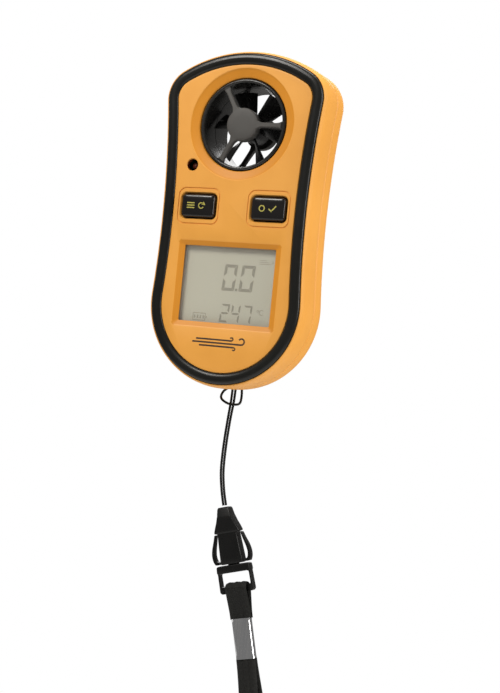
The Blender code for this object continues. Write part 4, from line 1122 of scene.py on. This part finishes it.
def clamp():
    """A polished strip folded round the webbing, with its seam and two crimp dents at the back."""
    middle = -(CLAMP_TOP_DROP + CLAMP_BOTTOM_DROP) / 2
    length = CLAMP_BOTTOM_DROP - CLAMP_TOP_DROP
    w, t = CLAMP_SIZE
    rings = []
    for k in range(33):
        z = middle + length / 2 - length * k / 32
        end = min(k, 32 - k) / 32
        flare = 0.05 * max(0.0, 1 - end * 14)
        outline = rounded_rectangle(w - 0.1 + 2 * flare, t - 0.1 + 2 * flare, 0.95, 10)
        ring = []
        for x, y in outline:
            crown = 0.05 * (1 - (2 * x / w) ** 2)
            ring.append((x, y + math.copysign(crown, y), z))
        rings.append(ring)
    body = loft(rings)
    mouths = []
    for end in (-1, 1):
        z = middle + end * length / 2
        flat = rounded_rectangle(w - 1.0, t - 1.0, 0.45, 6)
        levels = (z - end * 1.2, z + end * 0.5)
        mouths.append(loft([[(x, y, level_z) for x, y in flat] for level_z in levels]))
    seam = box((0.14, 0.4, length + 1), (0, t / 2, middle))
    dents = []
    for end in (-1, 1):
        dent = box((1.6, 0.5, 0.9), (end * 1.5, t / 2 + 0.08, middle))
        dents.append(softened(dent, 0.2))
    body = combined(body, "DIFFERENCE", *mouths, seam, *dents)
    return piece("clamp_sleeve", placed(body, WEBBING), CHROME, "casing", ("strap_clamp",))


def strap_route(steps=88):
    start = -CLAMP_BOTTOM_DROP - 0.3
    points = [WEBBING @ Vector((0, -STRAP_THICKNESS * 0.45, start + 0.6))]
    for i in range(steps + 1):
        angle = math.tau * i / steps
        spread = STRAP_BULGE * math.sin(angle) * math.sin(angle / 2) ** 2
        y = -spread - STRAP_THICKNESS * 0.6 * math.cos(angle / 2)
        z = start - STRAP_HANG * (1 - math.cos(angle)) / 2
        points.append(WEBBING @ Vector((-STRAP_SWAY * (start - z) ** 2, y, z)))
    points.append(WEBBING @ Vector((0, STRAP_THICKNESS * 0.45, start + 0.6)))
    return points


def wrist_strap():
    route = strap_route()
    points, length = resampled(route, 0.22)
    across = WEBBING.to_3x3() @ Vector((1, 0, 0))
    skin = band(points, across, STRAP_WIDTH, STRAP_THICKNESS, 0.3, 22)
    strap = piece("wrist_braid", skin, STRAP_BLACK, "casing", ("wrist_strap",), 60)


def lanyard_cord():
    """The thin three-ply cord that doubles back through a lark's head on the bar."""
    route = [point for point in smooth_route(CORD_ROUTE, 3)]
    points, length = resampled(smooth_route(route, 3), 0.16)
    sides = 14
    rows = []
    normal = Vector((0, 1, 0))
    for i, point in enumerate(points):
        before, after = points[max(i - 1, 0)], points[min(i + 1, len(points) - 1)]
        tangent = (after - before).normalized()
        normal = (normal - normal.dot(tangent) * tangent).normalized()
        side = tangent.cross(normal)
        turn = math.tau * (i * 0.16) / (2.6)
        ring = []
        for k in range(sides):
            angle = math.tau * k / sides
            ply = abs(math.cos(1.5 * (angle - turn)))
            radius = CORD_RADIUS * (0.84 + 0.16 * ply**0.7)
            ring.append(point + radius * (math.cos(angle) * normal + math.sin(angle) * side))
        rows.append(ring)
    cord = piece("thin_cord", loft(rows), CORD_BLACK, "casing", ("lanyard_cord",), 70)


on_cord = buckle()
on_cord += [strap_tab(), clamp()]
lanyard_cord()
wrist_strap()


# ---------------------------------------------------------------- carried-over parts


def finish_nodes():
    """Gives each CAD node that stays its finish, by the material slot that the record names."""
    finishes = {
        "orange_plastic": ORANGE,
        "black_plastic": BUCKLE_BLACK,
        "grey_plastic": DUCT_BLACK,
        "black_rubber": BAND,
        "steel": STEEL,
        "polished_metal": CHROME,
        "brass": BRASS,
        "clear_plastic": WINDOW,
        "display_glass": GLASS_PANEL,
        "circuit_board": BOARD_GREEN,
        "chip_resin": CHIP_BLACK,
        "silicone": SILICONE,
        "sensor_epoxy": SENSOR,
        "black_cord": CORD_BLACK,
        "black_webbing": STRAP_BLACK,
    }
    slots = {part["node"]: part["material_slot"] for part in frame["record"]["subparts"]}
    for name, node in frame["nodes"].items():
        for holder in node.material_slots:
            holder.material = finishes[slots[name]]


finish_nodes()


# ---------------------------------------------------------------- stage, lights and camera


def area_light(name, place, target, size, power, colour=(1, 1, 1)):
    data = bpy.data.lights.new(name, "AREA")
    data.shape = "RECTANGLE"
    data.size, data.size_y = size
    data.energy = power
    data.color = colour
    lamp = linked(name, data)
    lamp.location = place
    lamp.rotation_euler = (Vector(target) - Vector(place)).to_track_quat("-Z", "Y").to_euler()


def stage():
    low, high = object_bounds()
    bm = bmesh.new()
    bmesh.ops.create_circle(bm, cap_ends=True, segments=96, radius=FLOOR_RADIUS)
    bmesh.ops.translate(bm, vec=(0, 0, low[2] - 0.004), verts=bm.verts)
    mesh = mesh_of("floor", bm)
    floor = linked("floor", mesh)
    made, tree, shader = shader_nodes("pale_floor")
    shade = ramp(tree, noise(tree, 3.0, 3.0), [(0.3, (0.84, 0.84, 0.84)), (0.7, (0.88, 0.88, 0.88))])
    tree.links.new(shade, shader.inputs["Base Color"])
    shader.inputs["Roughness"].default_value = 0.7
    mesh.materials.append(made)
    floor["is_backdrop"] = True


def lights():
    """A white backdrop that the camera sees, dimmer all-round light, and soft cards for the main light."""
    world = bpy.data.worlds.new("studio")
    world.use_nodes = True
    tree = world.node_tree
    dim = tree.nodes["Background"]
    dim.inputs["Color"].default_value = (1.0, 0.97, 0.93, 1.0)
    dim.inputs["Strength"].default_value = AMBIENT
    backdrop = tree.nodes.new("ShaderNodeBackground")
    backdrop.inputs["Color"].default_value = (1.0, 1.0, 1.0, 1.0)
    backdrop.inputs["Strength"].default_value = 1.0
    sight = tree.nodes.new("ShaderNodeLightPath")
    choice = tree.nodes.new("ShaderNodeMixShader")
    tree.links.new(sight.outputs["Is Camera Ray"], choice.inputs["Fac"])
    tree.links.new(dim.outputs["Background"], choice.inputs[1])
    tree.links.new(backdrop.outputs["Background"], choice.inputs[2])
    tree.links.new(choice.outputs["Shader"], tree.nodes["World Output"].inputs["Surface"])
    bpy.context.scene.world = world
    bpy.context.scene.view_settings.view_transform = "Standard"
    for name, place, target, size, power, colour in LIGHTS:
        area_light(name, place, target, size, power, colour)


def camera():
    data = bpy.data.cameras.new("camera")
    data.lens = CAMERA_LENS_MM
    data.clip_start = 0.01
    eye = linked("camera", data)
    look = (Vector(CAMERA_TARGET) - Vector(CAMERA_PLACE)).to_track_quat("-Z", "Y")
    eye.matrix_world = (
        Matrix.Translation(CAMERA_PLACE) @ look.to_matrix().to_4x4() @ Matrix.Rotation(CAMERA_ROLL, 4, "Z")
    )
    bpy.context.scene.camera = eye


stage()
lights()
camera()
